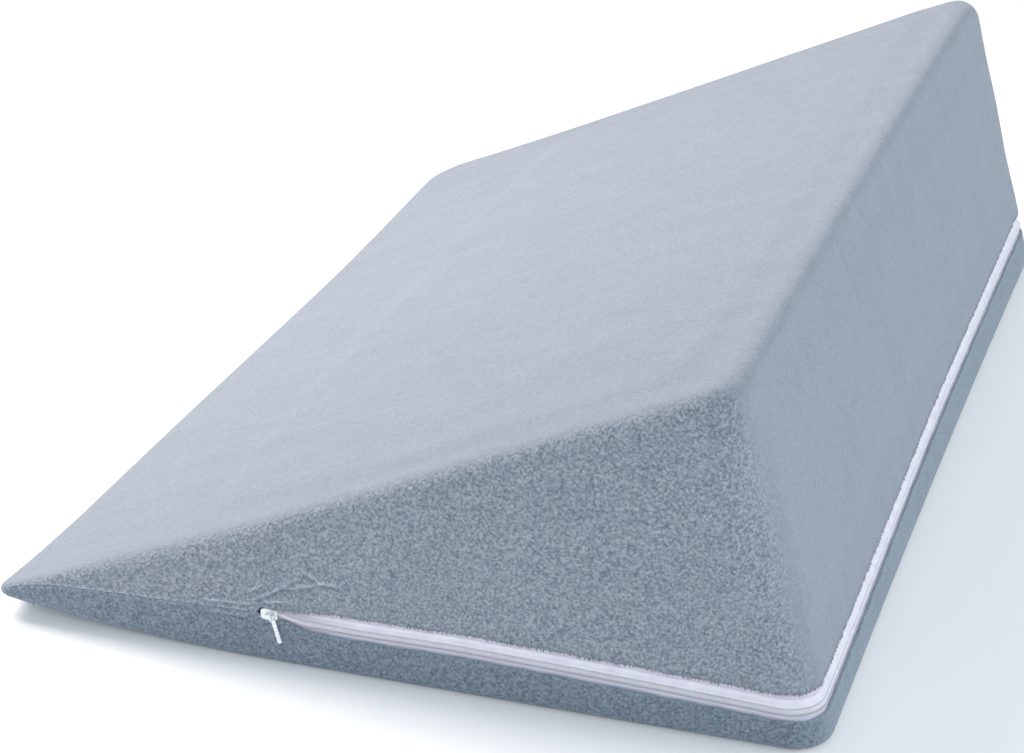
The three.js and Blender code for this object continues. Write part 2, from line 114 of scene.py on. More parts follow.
TOE_X = -LENGTH / 2
HEEL_X = LENGTH / 2
APEX_X = HEEL_X - HEEL_LEAN
HALF_WIDTH = WIDTH / 2
TOP_RISE = (HEIGHT - TOE_THICKNESS) / (APEX_X - TOE_X)
TOP_COSINE = 1 / math.hypot(1, TOP_RISE)
BACK_COSINE = HEIGHT / math.hypot(HEIGHT, HEEL_LEAN)


def share(value, start, end):
    """How far along from one value to another, held between 0 and 1."""
    return np.clip((value - start) / (end - start), 0, 1)


def mix(start, end, part):
    return start + (end - start) * part


def smooth(value, start, end):
    part = share(value, start, end)
    return part * part * (3 - 2 * part)


# The cover's outer surface

def bow(y):
    """1 at the middle of an edge and 0 at its ends."""
    return np.maximum(0, 1 - (y / HALF_WIDTH) ** 2)


def toe_bow(y):
    return np.sin(math.pi * share(y, -HALF_WIDTH, HALF_WIDTH) ** TOE_BOW_SHIFT) ** 2


def at_tip(x, y, near, far):
    """0 in the pillow's middle, rising to the given value at each of the toe's tips."""
    along = share(x, TOE_X + TIP_LENGTH, TOE_X)
    across = share(np.abs(y), HALF_WIDTH - TIP_WIDTH, HALF_WIDTH)
    return along**2 * across**2 * np.where(y < 0, near, far)


def underside_height(x, y):
    return at_tip(x, y, NEAR_TIP_LIFT, FAR_TIP_LIFT)


def top_height(x, y):
    along = share(x, TOE_X, APEX_X)
    swell = np.sin(math.pi * along)
    crown = TOP_CROWN * bow(y) * swell - CREASE_SAG * (1 - bow(y)) * swell * (1 - along)
    raised = at_tip(x, y, NEAR_TIP_RAISE, FAR_TIP_RAISE)
    return TOE_THICKNESS + TOP_RISE * (x - TOE_X) + crown + raised


def rounded_edge(a, b, radius):
    """Two faces that meet in an edge of the given radius."""
    corner = np.hypot(np.maximum(radius + a, 0), np.maximum(radius + b, 0))
    return np.minimum(-radius, np.maximum(a, b)) + corner


def outside(points):
    """Distance of each point outside the cover's surface, negative within."""
    x, y, z = points.T
    along = share(x, TOE_X, HEEL_X)
    up = share(z, 0, HEIGHT)
    high = top_height(x, y)
    draw_in = mix(HEEL_DRAW_IN, APEX_DRAW_IN, up) - BACK_CROWN * np.sin(math.pi * up)
    back = (x - HEEL_X + HEEL_LEAN * (z / HEIGHT) + draw_in * bow(y)) * BACK_COSINE
    toe = TOE_X + TOE_DRAW_IN * toe_bow(y) - x
    swell = SIDE_CROWN / 2 * np.sin(math.pi * along)
    side = np.abs(y) - HALF_WIDTH - swell * (1 + np.sin(math.pi * share(z, 0, high)))
    top = (z - high) * TOP_COSINE
    bottom = underside_height(x, y) - z

    tip_radius = np.where(y < 0, NEAR_TIP_RADIUS, FAR_TIP_RADIUS)
    corner_radius = mix(tip_radius, mix(HEEL_CORNER_RADIUS, APEX_CORNER_RADIUS, up), along)
    walls = rounded_edge(np.maximum(back, toe), side, corner_radius)
    from_toe = smooth(x, TOE_X, TOE_X + CREASE_BLEND)
    outer = share(np.abs(y), HALF_WIDTH - APEX_BLEND_WIDTH, HALF_WIDTH)
    near_apex = smooth(x, APEX_X - APEX_BLEND, APEX_X) * outer
    apex_radius = np.where(y < 0, APEX_RADIUS, FAR_APEX_RADIUS)
    crease_radius = mix(mix(TOE_RADIUS, CREASE_RADIUS, from_toe), apex_radius, near_apex)
    upper = rounded_edge(walls, top, crease_radius)
    return rounded_edge(upper, bottom, mix(TOE_RADIUS, BOTTOM_RADIUS, from_toe))


SEARCH_REACH = 0.120
SEARCH_STEPS = 26


def surface(inner, through, inset=0.0):
    """Where lines from points inside, through others, leave the surface that lies inset within the cover."""
    shape = np.broadcast_shapes(inner.shape, through.shape)
    start = np.broadcast_to(inner, shape).reshape(-1, 3)
    along = np.broadcast_to(through, shape).reshape(-1, 3) - start
    along = along / np.linalg.norm(along, axis=1, keepdims=True)
    inset = np.broadcast_to(inset, shape[:-1]).reshape(-1)
    near = np.zeros(len(start))
    far = np.full(len(start), SEARCH_REACH)
    for _ in range(SEARCH_STEPS):
        middle = (near + far) / 2
        within = outside(start + along * middle[:, None]) + inset < 0
        near = np.where(within, middle, near)
        far = np.where(within, far, middle)
    return (start + along * near[:, None]).reshape(shape)


# The lips of the cover on both sides of the zip, and the seam that follows on from them round the toe

ZIP_SAG = 0.0015  # the coil hangs a little below the middle of its solid
DIP = 0.0020  # and more just past the slider
DIP_START = (SLIDER_X + 0.004, SLIDER_X + 0.026)
DIP_END = (-0.030, 0.060)


def zip_height(x, y):
    near = mix(SLIDER_ZIP_HEIGHT, HEEL_ZIP_HEIGHT, share(x, SLIDER_X, HEEL_X) ** ZIP_DROP)
    near = near - DIP * (1 - smooth(x, *DIP_END)) * smooth(x, *DIP_START)
    return mix(near, FAR_ZIP_HEIGHT, smooth(y, -HALF_WIDTH, ZIP_RISE_END)) - ZIP_SAG * smooth(x, *DIP_START)


SEAM_BEND = 0.010  # the seam turns down to the toe softly


def seam_height(x, y):
    level = mix(SLIDER_ZIP_HEIGHT, TOE_SEAM_HEIGHT, share(x, SLIDER_X, TOE_X + TOE_SEAM_LENGTH))
    thin = top_height(x, y) - SEAM_BELOW_TOP
    bend = np.maximum(0, SEAM_BEND - np.abs(level - thin)) ** 2 / (4 * SEAM_BEND)
    return np.minimum(level, thin) - bend * smooth(top_height(x, y), 0.020, 0.030)


def middle_height(x, y):
    """The line that both lips keep to: the zip's middle and then the seam."""
    return np.where(x < SLIDER_X, seam_height(x, y), zip_height(x, y))


def parting(x):
    """How far the lips stand apart, from 0 at the slider to 1 along the back."""
    lens = np.sin(math.pi / 2 * share(x, SLIDER_X, SLIDER_X + LENS_LENGTH))
    rest = share(x, SLIDER_X + LENS_LENGTH, HEEL_X - FULL_OPENING_LENGTH)
    return lens * mix(LENS_SHARE, 1, rest)


NEST_SLOPE = 0.004  # the lips part over this length round the slider
NEST_MARGIN = 0.0004


def nest(x, y):
    """How far each lip keeps from the zip's middle line to make room for the slider, on the near side."""
    away = np.abs(x - SLIDER_X) - SLIDER_LENGTH / 2 - NEST_MARGIN
    return np.where(y < 0, (SLIDER_HALF_WIDTH + NEST_MARGIN) * (1 - smooth(away, 0, NEST_SLOPE)), 0)


def upper_lip(x, y):
    away = np.where(x < SLIDER_X, GAP / 2, mix(CLOSED_OPENING, UPPER_OPENING, parting(x)))
    return middle_height(x, y) + np.maximum(away, nest(x, y))


def lower_lip(x, y):
    away = np.where(x < SLIDER_X, GAP / 2, mix(CLOSED_OPENING, LOWER_OPENING, parting(x)))
    return middle_height(x, y) - np.maximum(away, nest(x, y))


# Columns round the pillow and stations over its top

EDGE_ZONE = 0.029
CELL = 0.0048
SLIDER_CELL = 0.0012  # the cloth is finer round the slider, where it wrinkles
SLIDER_ZONE = (SLIDER_X - 0.036, SLIDER_X + 0.062)
THIN_CORE = 0.45


COARSE_STEP = 2  # the simulated cloth has every second column
SLIDER_STEP = 8  # and every eighth where they are finer


def even_steps(start, end, cell, step):
    """Places from start to end, without the end, in a number of cells that a coarser step divides."""
    count = step * math.ceil((end - start) / cell / step)
    return [mix(start, end, i / count) for i in range(count)]


def length_stations():
    """Shares of the length at each column, and the numbers of the columns that are simulated."""
    low, high = SLIDER_ZONE
    places = []
    picked = []
    toe_zone = (TOE_X, low, CELL, COARSE_STEP)
    slider_zone = (low, high, SLIDER_CELL, SLIDER_STEP)
    heel_zone = (high, HEEL_X, CELL, COARSE_STEP)
    for start, end, cell, step in (toe_zone, slider_zone, heel_zone):
        steps = even_steps(start, end, cell, step)
        picked += [len(places) + i for i in range(0, len(steps), step)]
        places += steps
    return (np.array(places + [HEEL_X]) - TOE_X) / LENGTH, np.array(picked + [len(places)])


ALONG, COARSE_ALONG = length_stations()
ACROSS = np.array(even_steps(0, WIDTH, CELL, COARSE_STEP) + [WIDTH]) / WIDTH
COARSE_ACROSS = np.arange(0, len(ACROSS), COARSE_STEP)


def ring_stations():
    """Shares of length and width at each column: near side, heel, far side and toe."""
    near = [(a, 0.0) for a in ALONG]
    heel = [(1.0, b) for b in ACROSS[1:]]
    far = [(a, 1.0) for a in ALONG[-2::-1]]
    toe = [(0.0, b) for b in ACROSS[-2:0:-1]]
    return np.array(near + heel + far + toe)


def coarse_ring():
    """Numbers of the columns that are simulated."""
    length, width = len(ALONG) - 1, len(ACROSS) - 1
    heel = length + COARSE_ACROSS[1:]
    far = 2 * length + width - COARSE_ALONG[-2::-1]
    toe = 2 * (length + width) - COARSE_ACROSS[-2:0:-1]
    return np.concatenate([COARSE_ALONG, heel, far, toe])


RING = ring_stations()
COARSE_RING = coarse_ring()


def ring_of(grid):
    """The border of a grid over the top, in the order of the columns."""
    near = grid[:, 0]
    heel = grid[-1, 1:]
    far = grid[-2::-1, -1]
    toe = grid[0, -2:0:-1]
    return np.concatenate([near, heel, far, toe])


def wedge_height(along):
    return mix(TOE_THICKNESS, HEIGHT, along)


def wedge_points(along, across, z):
    """Points of the plain wedge, by shares of its length and width, at a height."""
    x = TOE_X + along * (LENGTH - z / wedge_height(along) * HEEL_LEAN)
    y = (across - 0.5) * WIDTH
    return np.stack(np.broadcast_arrays(x, y, z), axis=-1)


def crest_height(along, across):
    """Height of the top's border, which rises with the toe's tips."""
    x = mix(TOE_X, APEX_X, along)
    return wedge_height(along) + at_tip(x, (across - 0.5) * WIDTH, NEAR_TIP_RAISE, FAR_TIP_RAISE)


def inward(part, zone):
    return np.clip(part, zone, 1 - zone)


def core_points(along, across, z):
    return wedge_points(inward(along, EDGE_ZONE / LENGTH), inward(across, EDGE_ZONE / WIDTH), z)


def core_height(along):
    """Height of the inner points below the top."""
    height = wedge_height(inward(along, EDGE_ZONE / LENGTH))
    return height * (1 - np.minimum(THIN_CORE, EDGE_ZONE / height))


def rim_points(z, depth):
    """Points on level rays through every column, at a height for each, a depth inside the cover."""
    along, across = RING.T
    return surface(core_points(along, across, z), wedge_points(along, across, z), depth)


LIP_TRIES = 8


def lip_on_surface(lip):
    """Where a lip lies in every column, found from below, because its height depends on where it lies."""
    along, across = RING.T
    foot = wedge_points(along, across, np.zeros(len(RING)))
    z = underside_height(foot[:, 0], foot[:, 1]) + CLOTH
    for _ in range(LIP_TRIES):
        points = rim_points(z, 0)
        z = lip(points[:, 0], points[:, 1])
    return points[:, 0], points[:, 1], z


RIM_X, RIM_Y, UPPER_LIP = lip_on_surface(upper_lip)
LOWER_LIP = lower_lip(RIM_X, RIM_Y)

UPPER_ROWS = 52
ROW_BIAS = 1.5  # over 1, the rows are closer together near the lip


def top_grid(inset):
    along, across = np.meshgrid(ALONG, ACROSS, indexing="ij")
    inner = core_points(along, across, core_height(along))
    return surface(inner, wedge_points(along, across, crest_height(along, across)), inset)


SEAM_HEM = 0.00035  # radius of the cloth's turned edge in the closed seam
OPEN_HEM = 0.00090  # and along the open zip
HEM_RADIUS = mix(SEAM_HEM, OPEN_HEM, smooth(parting(RIM_X), 0.0, 0.5))


def wall_grid(inset):
    """The upper cover's walls, from the crease down to its turned edge."""
    along, across = RING.T
    foot = UPPER_LIP + HEM_RADIUS
    down = 1 - (1 - np.linspace(0, 1, UPPER_ROWS + 1)[:, None]) ** ROW_BIAS
    outer_z = mix(crest_height(along, across), foot, down)
    inner_z = mix(core_height(along), foot, down)
    inner = core_points(along, across, inner_z)
    return surface(inner, wedge_points(along, across, outer_z), inset)


# Meshes

def quads(index, closed=True):
    """Faces between the rows of an array of vertex numbers, joined round if closed."""
    after = np.roll(index, -1, axis=1)
    columns = index.shape[1] if closed else index.shape[1] - 1
    corners = [index[:-1], index[1:], after[1:], after[:-1]]
    return np.stack([c[:, :columns].reshape(-1) for c in corners], axis=1).tolist()


def fan(ring, centre):
    """Triangles from a closed ring of vertex numbers to one vertex."""
    return [[int(a), centre, int(b)] for a, b in zip(ring, np.roll(ring, -1))]


def make_mesh(name, points, faces, material=None):
    mesh = bpy.data.meshes.new(name)
    mesh.from_pydata(np.asarray(points).tolist(), [], faces)
    shell = bmesh.new()
    shell.from_mesh(mesh)
    bmesh.ops.recalc_face_normals(shell, faces=shell.faces)
    shell.to_mesh(mesh)
    shell.free()
    mesh.shade_smooth()
    piece = bpy.data.objects.new(name, mesh)
    bpy.context.scene.collection.objects.link(piece)
    if material:
        mesh.materials.append(material)
    return piece


def store_value(piece, name, values):
    """Keeps a value for each point of a piece for its material."""
    attribute = piece.data.attributes.new(name, "FLOAT", "POINT")
    attribute.data.foreach_set("value", np.asarray(values, np.float32).ravel())


SIDE_FACING = (0.30, 0.85)


def store_shaded_sides(piece):
    """1 on the near and far sides, where the loops get deeper bumps and stronger painted shade and light,
    and 0 elsewhere.
    """
    normals = np.zeros(len(piece.data.vertices) * 3)
    piece.data.vertex_normals.foreach_get("vector", normals)
    store_value(piece, "side", smooth(np.abs(normals[1::3]), *SIDE_FACING))


class Builder:
    """Collects rows of points and the faces between them."""

    def __init__(self):
        self.points = []
        self.faces = []
        self.count = 0

    def add(self, points):
        """Adds points of any array shape and returns their numbers in that shape."""
        flat = points.reshape(-1, 3)
        index = np.arange(self.count, self.count + len(flat)).reshape(points.shape[:-1])
        self.points.append(flat)
        self.count += len(flat)
        return index

    def all_points(self):
        return np.concatenate(self.points)


# Upper cover: the cushion, simulated under pressure

START_INSET = 0.0015
PUFF_LIMIT = 0.003
PRESSURE = 4.0
SIM_FRAMES = 20
HELD_ABOVE_LIP = (0.008, 0.060)
HELD_BY_TOE = (0.020, 0.130)
HELD_BY_EDGE = 0.070
EDGE_FREEDOM = 0.15


def freedom(points, lip, from_edge):
    """0 where the cloth is held, at the lip and the thin toe, and 1 where it may puff. Edges hold it too."""
    above = smooth(points[..., 2] - lip, *HELD_ABOVE_LIP)
    inner = mix(EDGE_FREEDOM, 1, smooth(from_edge, 0, HELD_BY_EDGE))
    return above * inner * smooth(points[..., 0] - TOE_X, *HELD_BY_TOE)


def top_freedom(points):
    x, y = points[..., 0], points[..., 1]
    return freedom(points, SLIDER_ZIP_HEIGHT, np.minimum(HALF_WIDTH - np.abs(y), APEX_X - x))


def wall_freedom(points):
    return freedom(points, UPPER_LIP, crest_height(*RING.T) - points[..., 2])


def resampled(values, picked, count, closed=False):
    """Values for every number up to a count, by a smooth curve through those for the picked numbers."""
    size = len(picked)
    if closed:
        picked = np.append(picked, count)
    place = np.interp(np.arange(count), picked, np.arange(len(picked)))
    low = np.floor(place).astype(int)
    part = (place - low).reshape(-1, *[1] * (values.ndim - 1))
    around = [low - 1, low, low + 1, low + 2]
    before, start, end, after = (values[n % size if closed else np.clip(n, 0, size - 1)] for n in around)
    bend = 2 * before - 5 * start + 4 * end - after
    twist = 3 * (start - end) + after - before
    return start + part / 2 * (end - before + part * (bend + part * twist))


def simulate(piece, pin_weights):
    """Blender's cloth under pressure, with no gravity, applied to the mesh. Returns the settled points."""
    group = piece.vertex_groups.new(name="held")
    for number, weight in enumerate(pin_weights.tolist()):
        group.add([number], weight, "REPLACE")
    cloth = piece.modifiers.new("cloth", "CLOTH")
    settings = cloth.settings
    settings.quality = 5
    settings.mass = 0.3
    settings.tension_stiffness = 15
    settings.compression_stiffness = 15
    settings.shear_stiffness = 5
    settings.bending_stiffness = 0.5
    settings.use_pressure = True
    settings.uniform_pressure_force = PRESSURE
    settings.effector_weights.gravity = 0
    settings.vertex_group_mass = "held"
    cloth.collision_settings.use_collision = False
    cloth.point_cache.frame_end = SIM_FRAMES
    for frame_number in range(1, SIM_FRAMES + 1):
        bpy.context.scene.frame_set(frame_number)
    settled = piece.evaluated_get(bpy.context.evaluated_depsgraph_get())
    points = np.zeros(len(piece.data.vertices) * 3)
    settled.data.vertices.foreach_get("co", points)
    bpy.data.objects.remove(piece)
    bpy.context.scene.frame_set(1)
    return points.reshape(-1, 3)


def puffed(top, walls):
    """The fine grids of the top and the walls, moved as a coarser grid of them is by the simulation."""
    coarse_top = top[COARSE_ALONG][:, COARSE_ACROSS]
    coarse_walls = walls[::2, COARSE_RING]
    builder = Builder()
    top_index = builder.add(coarse_top)
    wall_index = builder.add(coarse_walls[1:])
    wall_index = np.concatenate([ring_of(top_index)[None], wall_index])
    centre = builder.add(coarse_walls[-1].mean(axis=0)[None])
    faces = quads(top_index, closed=False) + quads(wall_index)
    faces += fan(wall_index[-1], int(centre[0]))
    points = builder.all_points()
    shell = make_mesh("shell", points, faces)

    free = np.zeros(len(points))
    free[top_index] = top_freedom(top)[COARSE_ALONG][:, COARSE_ACROSS]
    free[wall_index] = wall_freedom(walls)[::2, COARSE_RING]
    moved = simulate(shell, 1 - free) - points
    length = np.linalg.norm(moved, axis=1, keepdims=True)
    moved *= np.minimum(1, PUFF_LIMIT / np.maximum(length, 1e-9))
    top_moved = resampled(moved[top_index], COARSE_ALONG, len(ALONG))
    top_moved = resampled(top_moved.swapaxes(0, 1), COARSE_ACROSS, len(ACROSS)).swapaxes(0, 1)
    wall_moved = resampled(moved[wall_index], np.arange(0, UPPER_ROWS + 1, 2), UPPER_ROWS + 1)
    wall_moved = resampled(wall_moved.swapaxes(0, 1), COARSE_RING, len(RING), closed=True).swapaxes(0, 1)
    return top + top_moved, walls + wall_moved


def waves(points, lengths, count, seed):
    """A smooth uneven value from -1 to 1 at each point, made of waves of lengths between the two given."""
    source = random.Random(seed)
    total = np.zeros(points.shape[:-1])
    for _ in range(count):
        direction = np.array([source.gauss(0, 1) for _ in range(3)])
        direction /= np.linalg.norm(direction)
        length = source.uniform(*lengths)
        total += np.sin(points @ direction * (2 * math.pi / length) + source.uniform(0, 2 * math.pi))
    return total / math.sqrt(count) / 1.5


def grid_normals(grid, closed):
    """Unit normals of a grid of points, which point out of the pillow."""
    down = np.gradient(grid, axis=0)
    if closed:
        across = np.roll(grid, -1, axis=1) - np.roll(grid, 1, axis=1)
    else:
        across = np.gradient(grid, axis=1)
    normal = np.cross(down, across)
    return normal / np.maximum(np.linalg.norm(normal, axis=-1, keepdims=True), 1e-12)


# Creases that fan out from the slider: the line of each, from the slider along X and up Z, then its height
# and half width
WRINKLES = (
    (((-0.013, 0.009), (-0.002, 0.0155), (0.011, 0.0235), (0.027, 0.0365)), 0.0018, 0.0014),
    (((0.012, 0.0215), (0.022, 0.0250), (0.030, 0.0275), (0.038, 0.0305), (0.046, 0.0310), (0.055, 0.0285)),
     0.0017, 0.0014),
    (((0.024, 0.0385), (0.031, 0.0345), (0.038, 0.0315)), 0.0013, 0.0013),
    (((-0.050, 0.0035), (-0.028, 0.0048), (-0.009, 0.0068)), 0.0013, 0.0012),
    (((-0.046, -0.0050), (-0.028, -0.0045), (-0.011, -0.0040)), 0.0012, 0.0012),
    (((-0.006, 0.0090), (0.010, 0.0115), (0.026, 0.0125)), 0.0010, 0.0014),
    (((-0.016, 0.0150), (-0.008, 0.0200), (-0.002, 0.0270)), 0.0010, 0.0014),
)
TROUGH_PLACE = 1.9  # half widths below the ridge
TROUGH_SHARE = 0.5


def beside_line(x, z, line):
    """How far places lie above a bent line, and how far along it they are, from 0 to 1."""
    best = np.full(x.shape, np.inf)
    above = np.zeros(x.shape)
    along = np.zeros(x.shape)
    for i, (start, end) in enumerate(zip(line[:-1], line[1:])):
        run, rise = end[0] - start[0], end[1] - start[1]
        length = math.hypot(run, rise)
        part = ((x - start[0]) * run + (z - start[1]) * rise) / length**2
        held = np.clip(part, 0, 1)
        away = np.hypot(x - start[0] - held * run, z - start[1] - held * rise)
        closer = away < best
        best = np.where(closer, away, best)
        side = ((z - start[1]) * run - (x - start[0]) * rise) / length
        above = np.where(closer, np.where(side < 0, -away, away), above)
        along = np.where(closer, (i + part) / (len(line) - 1), along)
    return above, along


def wrinkle_height(points):
    """How far the creases raise each point of the near side, or sink it beside them."""
    x = points[..., 0] - SLIDER_X
    z = points[..., 2] - SLIDER_ZIP_HEIGHT
    total = np.zeros(x.shape)
    for line, height, half_width in WRINKLES:
        above, along = beside_line(x, z, line)
        fade = smooth(along, -0.05, 0.15) * (1 - smooth(along, 0.65, 1.05))
        ridge = np.exp(-((above / half_width) ** 2))
        trough = TROUGH_SHARE * np.exp(-((above / half_width + TROUGH_PLACE) ** 2))
        total += height * fade * (ridge - trough)
    near_side = smooth(-points[..., 1], HALF_WIDTH - 0.020, HALF_WIDTH - 0.008)
    return total * near_side


FULL_CREASE = 0.0012  # a crease this high gets the full painted highlight, or the full painted shade where it is so deep
LIP_SHADE_REACH = 0.0024
SEAM_SHINE_REACH = 0.0014
# Painted light and shade at the lips: a highlight along the closed seam, and shade or light at the open
# lips, the turned hems and the tufts; keys are 1 above the zip and -1 below, negative is darker
OPEN_LIP_PAINTED_SHADING = {1: -0.35, -1: 0.1}
SEAM_PAINTED_HIGHLIGHT = 0.5
HEM_PAINTED_SHADING = {1: -0.6, -1: 0.3}
TUFT_PAINTED_SHADING = {1: -0.1, -1: 0.3}


def openness():
    """0 where the cover is closed by the seam and 1 where the zip parts its lips, in every column."""
    return smooth(parting(RIM_X), 0.0, 0.4)


def painted_shading_tone(points, lip, side):
    """Painted light and shade: 1 on ridges, -1 in troughs, darker in the upper open lip's shade and a little
    lighter by the lower one, and a painted highlight along the closed seam.
    """
    away = (points[..., 2] - lip) * side
    shaded = OPEN_LIP_PAINTED_SHADING[side] * np.exp(-((away / LIP_SHADE_REACH) ** 2)) * openness()
    # Painted highlight along the closed seam
    seam_highlight = SEAM_PAINTED_HIGHLIGHT * np.exp(-((away / SEAM_SHINE_REACH) ** 2)) * (1 - openness())
    return np.clip(wrinkle_height(points) / FULL_CREASE, -1, 1) + shaded + seam_highlight


UNEVEN = 0.0005
UNEVEN_LENGTHS = (0.060, 0.160)
LIP_PUCKER = 0.0005
LIP_PUCKER_LENGTHS = (0.009, 0.026)
LIP_PUCKER_REACH = 0.012
LIP_ROOM = 0.012


def unevenness(points, free):
    return UNEVEN * free * waves(points, UNEVEN_LENGTHS, 14, seed=5)


def lip_pucker(points, lip, side):
    """Small dents along a lip, where the cloth is sewn to the tape. side is 1 above the zip and -1 below."""
    above = (points[..., 2] - lip) * side
    level = points.copy()
    level[..., 2] = lip
    fade = np.exp(-((above / LIP_PUCKER_REACH) ** 2))
    return LIP_PUCKER * fade * waves(level, LIP_PUCKER_LENGTHS, 10, seed=8)


LIP_WAVER = 0.0005
LIP_WAVER_LENGTHS = (0.008, 0.035)
HEM_TURNS = 6
SLOT_DEPTH = 0.0049
SLOT_HEIGHT = 0.0046


def lip_waver(x, y, seed):
    """How far a sewn lip strays from its line."""
    places = np.stack([x, y, np.zeros(x.shape)], axis=-1)
    opening = smooth(parting(x), 0.3, 0.9)
    return LIP_WAVER * opening * waves(places, LIP_WAVER_LENGTHS, 12, seed)


def hem_rows(lip, side):
    """Heights and depths of the rows that turn the cloth's edge in at a lip. side is 1 above, -1 below."""
    rows = []
    for i in range(1, HEM_TURNS + 1):
        turn = math.pi * i / HEM_TURNS
        flat = (CLOTH - 2 * HEM_RADIUS) * smooth(turn, 0.4 * math.pi, 0.6 * math.pi)
        height = lip + side * HEM_RADIUS * (1 - math.sin(turn))
        rows.append((height, HEM_RADIUS * (1 - math.cos(turn)) + flat))
    return rows


TUFT_STEP = 0.0010
TUFT_LENGTHS = {1: (0.0006, 0.0020), -1: (0.0003, 0.0011)}
TUFT_RADIUS = 0.00034
TUFT_SIDES = 3
TUFT_SHAPE = ((-0.3, 1.0), (0.5, 1.0), (1.0, 0.2))  # shares of the length and the radius
TUFT_OPENING = 0.08
TUFT_DROOP = 0.5


def unit(vectors):
    return vectors / np.maximum(np.linalg.norm(vectors, axis=-1, keepdims=True), 1e-12)


def lip_tufts(builder, edge, side, seed):
    """Short ends of pile that stand out along the lip of the open zip. Returns their faces."""
    line = edge[parting(RIM_X) > TUFT_OPENING]
    distance = np.concatenate([[0], np.cumsum(np.linalg.norm(np.diff(line, axis=0), axis=1))])
    source = np.random.default_rng(seed)
    places = np.arange(TUFT_STEP, distance[-1], TUFT_STEP)
    places += source.uniform(-0.9, 0.9, len(places)) * TUFT_STEP
    foot = np.stack([np.interp(places, distance, values) for values in line.T], axis=1)
    slope = unit(np.gradient(line, axis=0))
    along = unit(np.stack([np.interp(places, distance, values) for values in slope.T], axis=1))
    upward = np.array([0.0, 0.0, 1.0])
    out = unit(np.cross(along, upward))
    count = len(places)
    lean = [source.uniform(*limits, (count, 1)) for limits in ((0.1, 0.8), (0.5, 1.0), (-0.6, 0.6))]
    way = unit(out * lean[0] - upward * side * lean[1] + along * lean[2])
    across = unit(np.cross(way, along))
    other = np.cross(way, across)
    length = source.uniform(*TUFT_LENGTHS[side], (count, 1))
    angles = 2 * math.pi * np.arange(TUFT_SIDES) / TUFT_SIDES
    circle = np.cos(angles)[:, None, None] * across + np.sin(angles)[:, None, None] * other
    rings = []
    for part, width in TUFT_SHAPE:
        droop = -upward * TUFT_DROOP * max(part, 0) ** 2 * length * 0.5
        rings.append(foot + way * length * part + droop + circle * TUFT_RADIUS * width)
    index = builder.add(np.stack(rings))
    faces = []
    for tuft in range(count):
        faces += quads(index[:, :, tuft])
        faces += [index[0, ::-1, tuft].tolist(), index[-1, :, tuft].tolist()]
    return faces


def upper_cover(material):
    """The filled cushion in its upper cover: top, walls, the turned hem at the lip and a closed core."""
    lip = UPPER_LIP
    top = top_grid(0)
    walls = wall_grid(0)
    room = np.minimum(1, (crest_height(*RING.T) - lip) / LIP_ROOM)
    top_free = top_freedom(top)
    wall_free = wall_freedom(walls)
    fine_top, fine_walls = puffed(top_grid(START_INSET * top_free), wall_grid(START_INSET * wall_free))
    top_out = grid_normals(fine_top, closed=False)
    wall_out = grid_normals(fine_walls, closed=True)
    fine_top = fine_top + top_out * unevenness(top, top_free)[..., None]
    fade = np.linspace(0, 1, UPPER_ROWS + 1)[:, None] ** 0.5
    raised = unevenness(walls, wall_free) + wrinkle_height(walls) + lip_pucker(walls, lip, 1) * room * fade
    fine_walls = fine_walls + wall_out * raised[..., None]
    waver = lip_waver(RIM_X, RIM_Y, seed=11) * np.exp(-(((walls[..., 2] - lip) / 0.006) ** 2))
    fine_walls[..., 2] += waver

    builder = Builder()
    top_index = builder.add(fine_top)
    rows = [ring_of(top_index)[None], builder.add(fine_walls[1:])]
    edge = fine_walls[-1]
    plain_edge = rim_points(lip + HEM_RADIUS, 0)
    hem = [rim_points(height, depth) - plain_edge + edge for height, depth in hem_rows(lip, 1)]
    rows += [builder.add(row)[None] for row in hem]
    slot_top = lip + SLOT_HEIGHT * room
    rows.append(builder.add(rim_points(slot_top, CLOTH))[None])
    rows.append(builder.add(rim_points(slot_top, SLOT_DEPTH))[None])
    rows.append(builder.add(rim_points(lip * 0.6, SLOT_DEPTH))[None])
    along, across = RING.T
    floor_ring = core_points(along, across, 0)
    floor_ring[:, 2] = underside_height(floor_ring[:, 0], floor_ring[:, 1]) + SLOT_DEPTH
    rows.append(builder.add(floor_ring)[None])
    index = np.concatenate(rows)
    centre = builder.add(np.array([[0.0, 0.0, SLOT_DEPTH]]))
    faces = quads(top_index, closed=False) + quads(index) + fan(index[-1], int(centre[0]))
    # Painted light and shade for the pile, by point: creases, lips, hem and tufts
    tone = np.zeros(builder.count)
    tone[index[:UPPER_ROWS + 1]] = painted_shading_tone(walls, lip, 1)
    tone[index[UPPER_ROWS + 1:]] = mix(SEAM_PAINTED_HIGHLIGHT, HEM_PAINTED_SHADING[1], openness())
    faces += lip_tufts(builder, hem[1], 1, seed=31)
    piece = make_mesh("cover_upper", builder.all_points(), faces, material)
    store_shaded_sides(piece)
    store_value(piece, "painted_shading", np.append(tone, np.full(builder.count - len(tone), TUFT_PAINTED_SHADING[1])))
    return piece


# Lower cover: a tray of cloth

TRAY_WALL_ROWS = 18
TRAY_ROW_BIAS = 1.6  # over 1, the rows are closer together near the lip
TRAY_EDGE_ROWS = 8
TRAY_RINGS = (0.82, 0.6, 0.35, 0.12)


